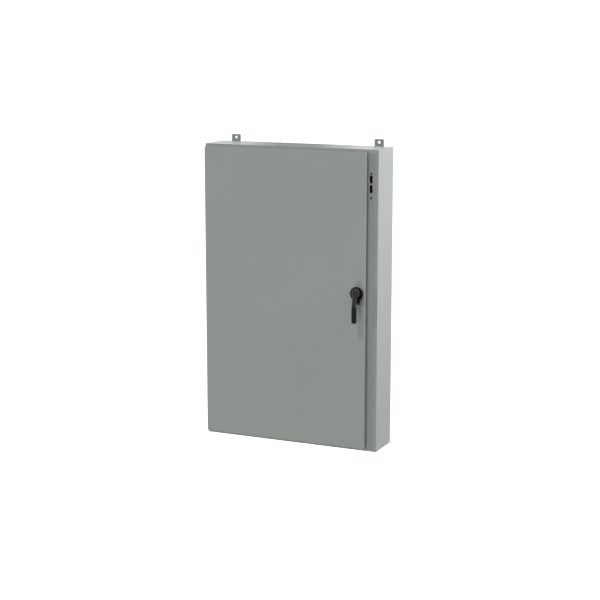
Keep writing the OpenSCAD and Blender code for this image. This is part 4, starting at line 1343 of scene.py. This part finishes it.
def make_world():
    """Soft studio: a white backdrop all round, whose light is dimmer from below, above and in front."""
    world = bpy.data.worlds.new("studio")
    world.use_nodes = True
    tree = world.node_tree
    coords = tree.nodes.new("ShaderNodeTexCoord")
    split = tree.nodes.new("ShaderNodeSeparateXYZ")
    tree.links.new(coords.outputs["Generated"], split.inputs["Vector"])

    def ramp(axis, start, end, low, high):
        made = tree.nodes.new("ShaderNodeMapRange")
        for socket, number in zip(RANGE_SOCKETS, (start, end, low, high)):
            made.inputs[socket].default_value = number
        tree.links.new(split.outputs[axis], made.inputs["Value"])
        return made.outputs["Result"]

    level = ramp("Z", -0.30, -0.06, 0.35, BACKDROP_LEVEL)
    for factor in (ramp("Y", -0.45, 0.10, FRONT_LEVEL, 1.0), ramp("Z", 0.40, 0.95, 1.0, ZENITH_LEVEL)):
        product = tree.nodes.new("ShaderNodeMath")
        product.operation = "MULTIPLY"
        tree.links.new(level, product.inputs[0])
        tree.links.new(factor, product.inputs[1])
        level = product.outputs["Value"]
    light_path = tree.nodes.new("ShaderNodeLightPath")
    backdrop = tree.nodes.new("ShaderNodeMix")
    tree.links.new(light_path.outputs["Is Camera Ray"], backdrop.inputs["Factor"])
    tree.links.new(level, backdrop.inputs["A"])
    backdrop.inputs["B"].default_value = BACKDROP_LEVEL
    tree.links.new(backdrop.outputs["Result"], tree.nodes["Background"].inputs["Strength"])
    tree.nodes["Background"].inputs["Color"].default_value = WHITE
    bpy.context.scene.world = world


def make_floor():
    """A plain white floor well below the wall-hung cabinet; it casts no light back up."""
    half = 150.0
    height = -2.2
    mesh = bpy.data.meshes.new("floor")
    outline = [(sx * half, sy * half, height) for sx, sy in ((-1, -1), (1, -1), (1, 1), (-1, 1))]
    mesh.from_pydata(outline, [], [(0, 1, 2, 3)])
    floor = bpy.data.objects.new("floor", mesh)
    bpy.context.scene.collection.objects.link(floor)
    s = Shader("floor", (0.5, 0.5, 0.5), 0.9)
    s.set("Emission Color", WHITE)
    s.set("Emission Strength", 0.8)
    floor.data.materials.append(s.material)
    floor.visible_diffuse = False
    floor.visible_glossy = False
    floor.visible_shadow = False


def sun(name, direction, energy, softness, colour=(1.0, 1.0, 1.0)):
    data = bpy.data.lights.new(name, "SUN")
    data.energy = energy
    data.color = colour
    data.angle = math.radians(softness)
    light = bpy.data.objects.new(name, data)
    light.rotation_euler = Vector(direction).to_track_quat("Z", "Y").to_euler()
    bpy.context.scene.collection.objects.link(light)


def softbox(name, place, aim, size, power):
    data = bpy.data.lights.new(name, "AREA")
    data.shape = "SQUARE"
    data.size = size
    data.energy = power
    light = bpy.data.objects.new(name, data)
    light.location = place
    light.rotation_euler = (Vector(place) - Vector(aim)).to_track_quat("Z", "Y").to_euler()
    bpy.context.scene.collection.objects.link(light)


def make_flag():
    """A card behind the cabinet, white at its ends and black between, seen only in the cabinet's top."""
    centre, half_w, low, high, back = -0.10, 0.34, 0.765, 1.00, 0.12
    mesh = bpy.data.meshes.new("flag")
    ends = ((-1, low), (1, low), (1, high), (-1, high))
    outline = [(centre + side * half_w, back, z) for side, z in ends]
    mesh.from_pydata(outline, [], [(0, 1, 2, 3)])
    flag = bpy.data.objects.new("flag", mesh)
    bpy.context.scene.collection.objects.link(flag)
    s = Shader("flag", (0.0, 0.0, 0.0), 0.9)
    axes = s.node("ShaderNodeSeparateXYZ")
    s.feed(axes.inputs["Vector"], s.coords)
    distance = s.calc("ABSOLUTE", s.calc("SUBTRACT", axes.outputs["X"], centre))
    s.set("Emission Color", WHITE)
    s.feed(s.bsdf.inputs["Emission Strength"], s.remap(distance, 0.3 * half_w, half_w))
    flag.data.materials.append(s.material)
    flag.visible_camera = False
    flag.visible_diffuse = False
    flag.visible_shadow = False


def make_lights():
    """Key from the right, a softbox up there that fades down the side, and grazing fills."""
    sun("key", (0.93, 0.04, 0.36), energy=0.95, softness=35, colour=(1.0, 0.92, 0.975))
    softbox("side_box", place=(2.6, 0.1, 1.9), aim=(0.47, -0.1, 0.5), size=1.2, power=46)
    sun("left_fill", (-0.92, -0.38, 0.10), energy=1.3, softness=14)
    sun("top_fill", (-0.25, -0.42, 0.87), energy=1.15, softness=14)
    sun("low_fill", (-0.20, -0.50, -0.84), energy=0.95, softness=14)


make_camera()
make_world()
make_floor()
make_flag()
make_lights()
bpy.context.scene.view_settings.view_transform = "Standard"
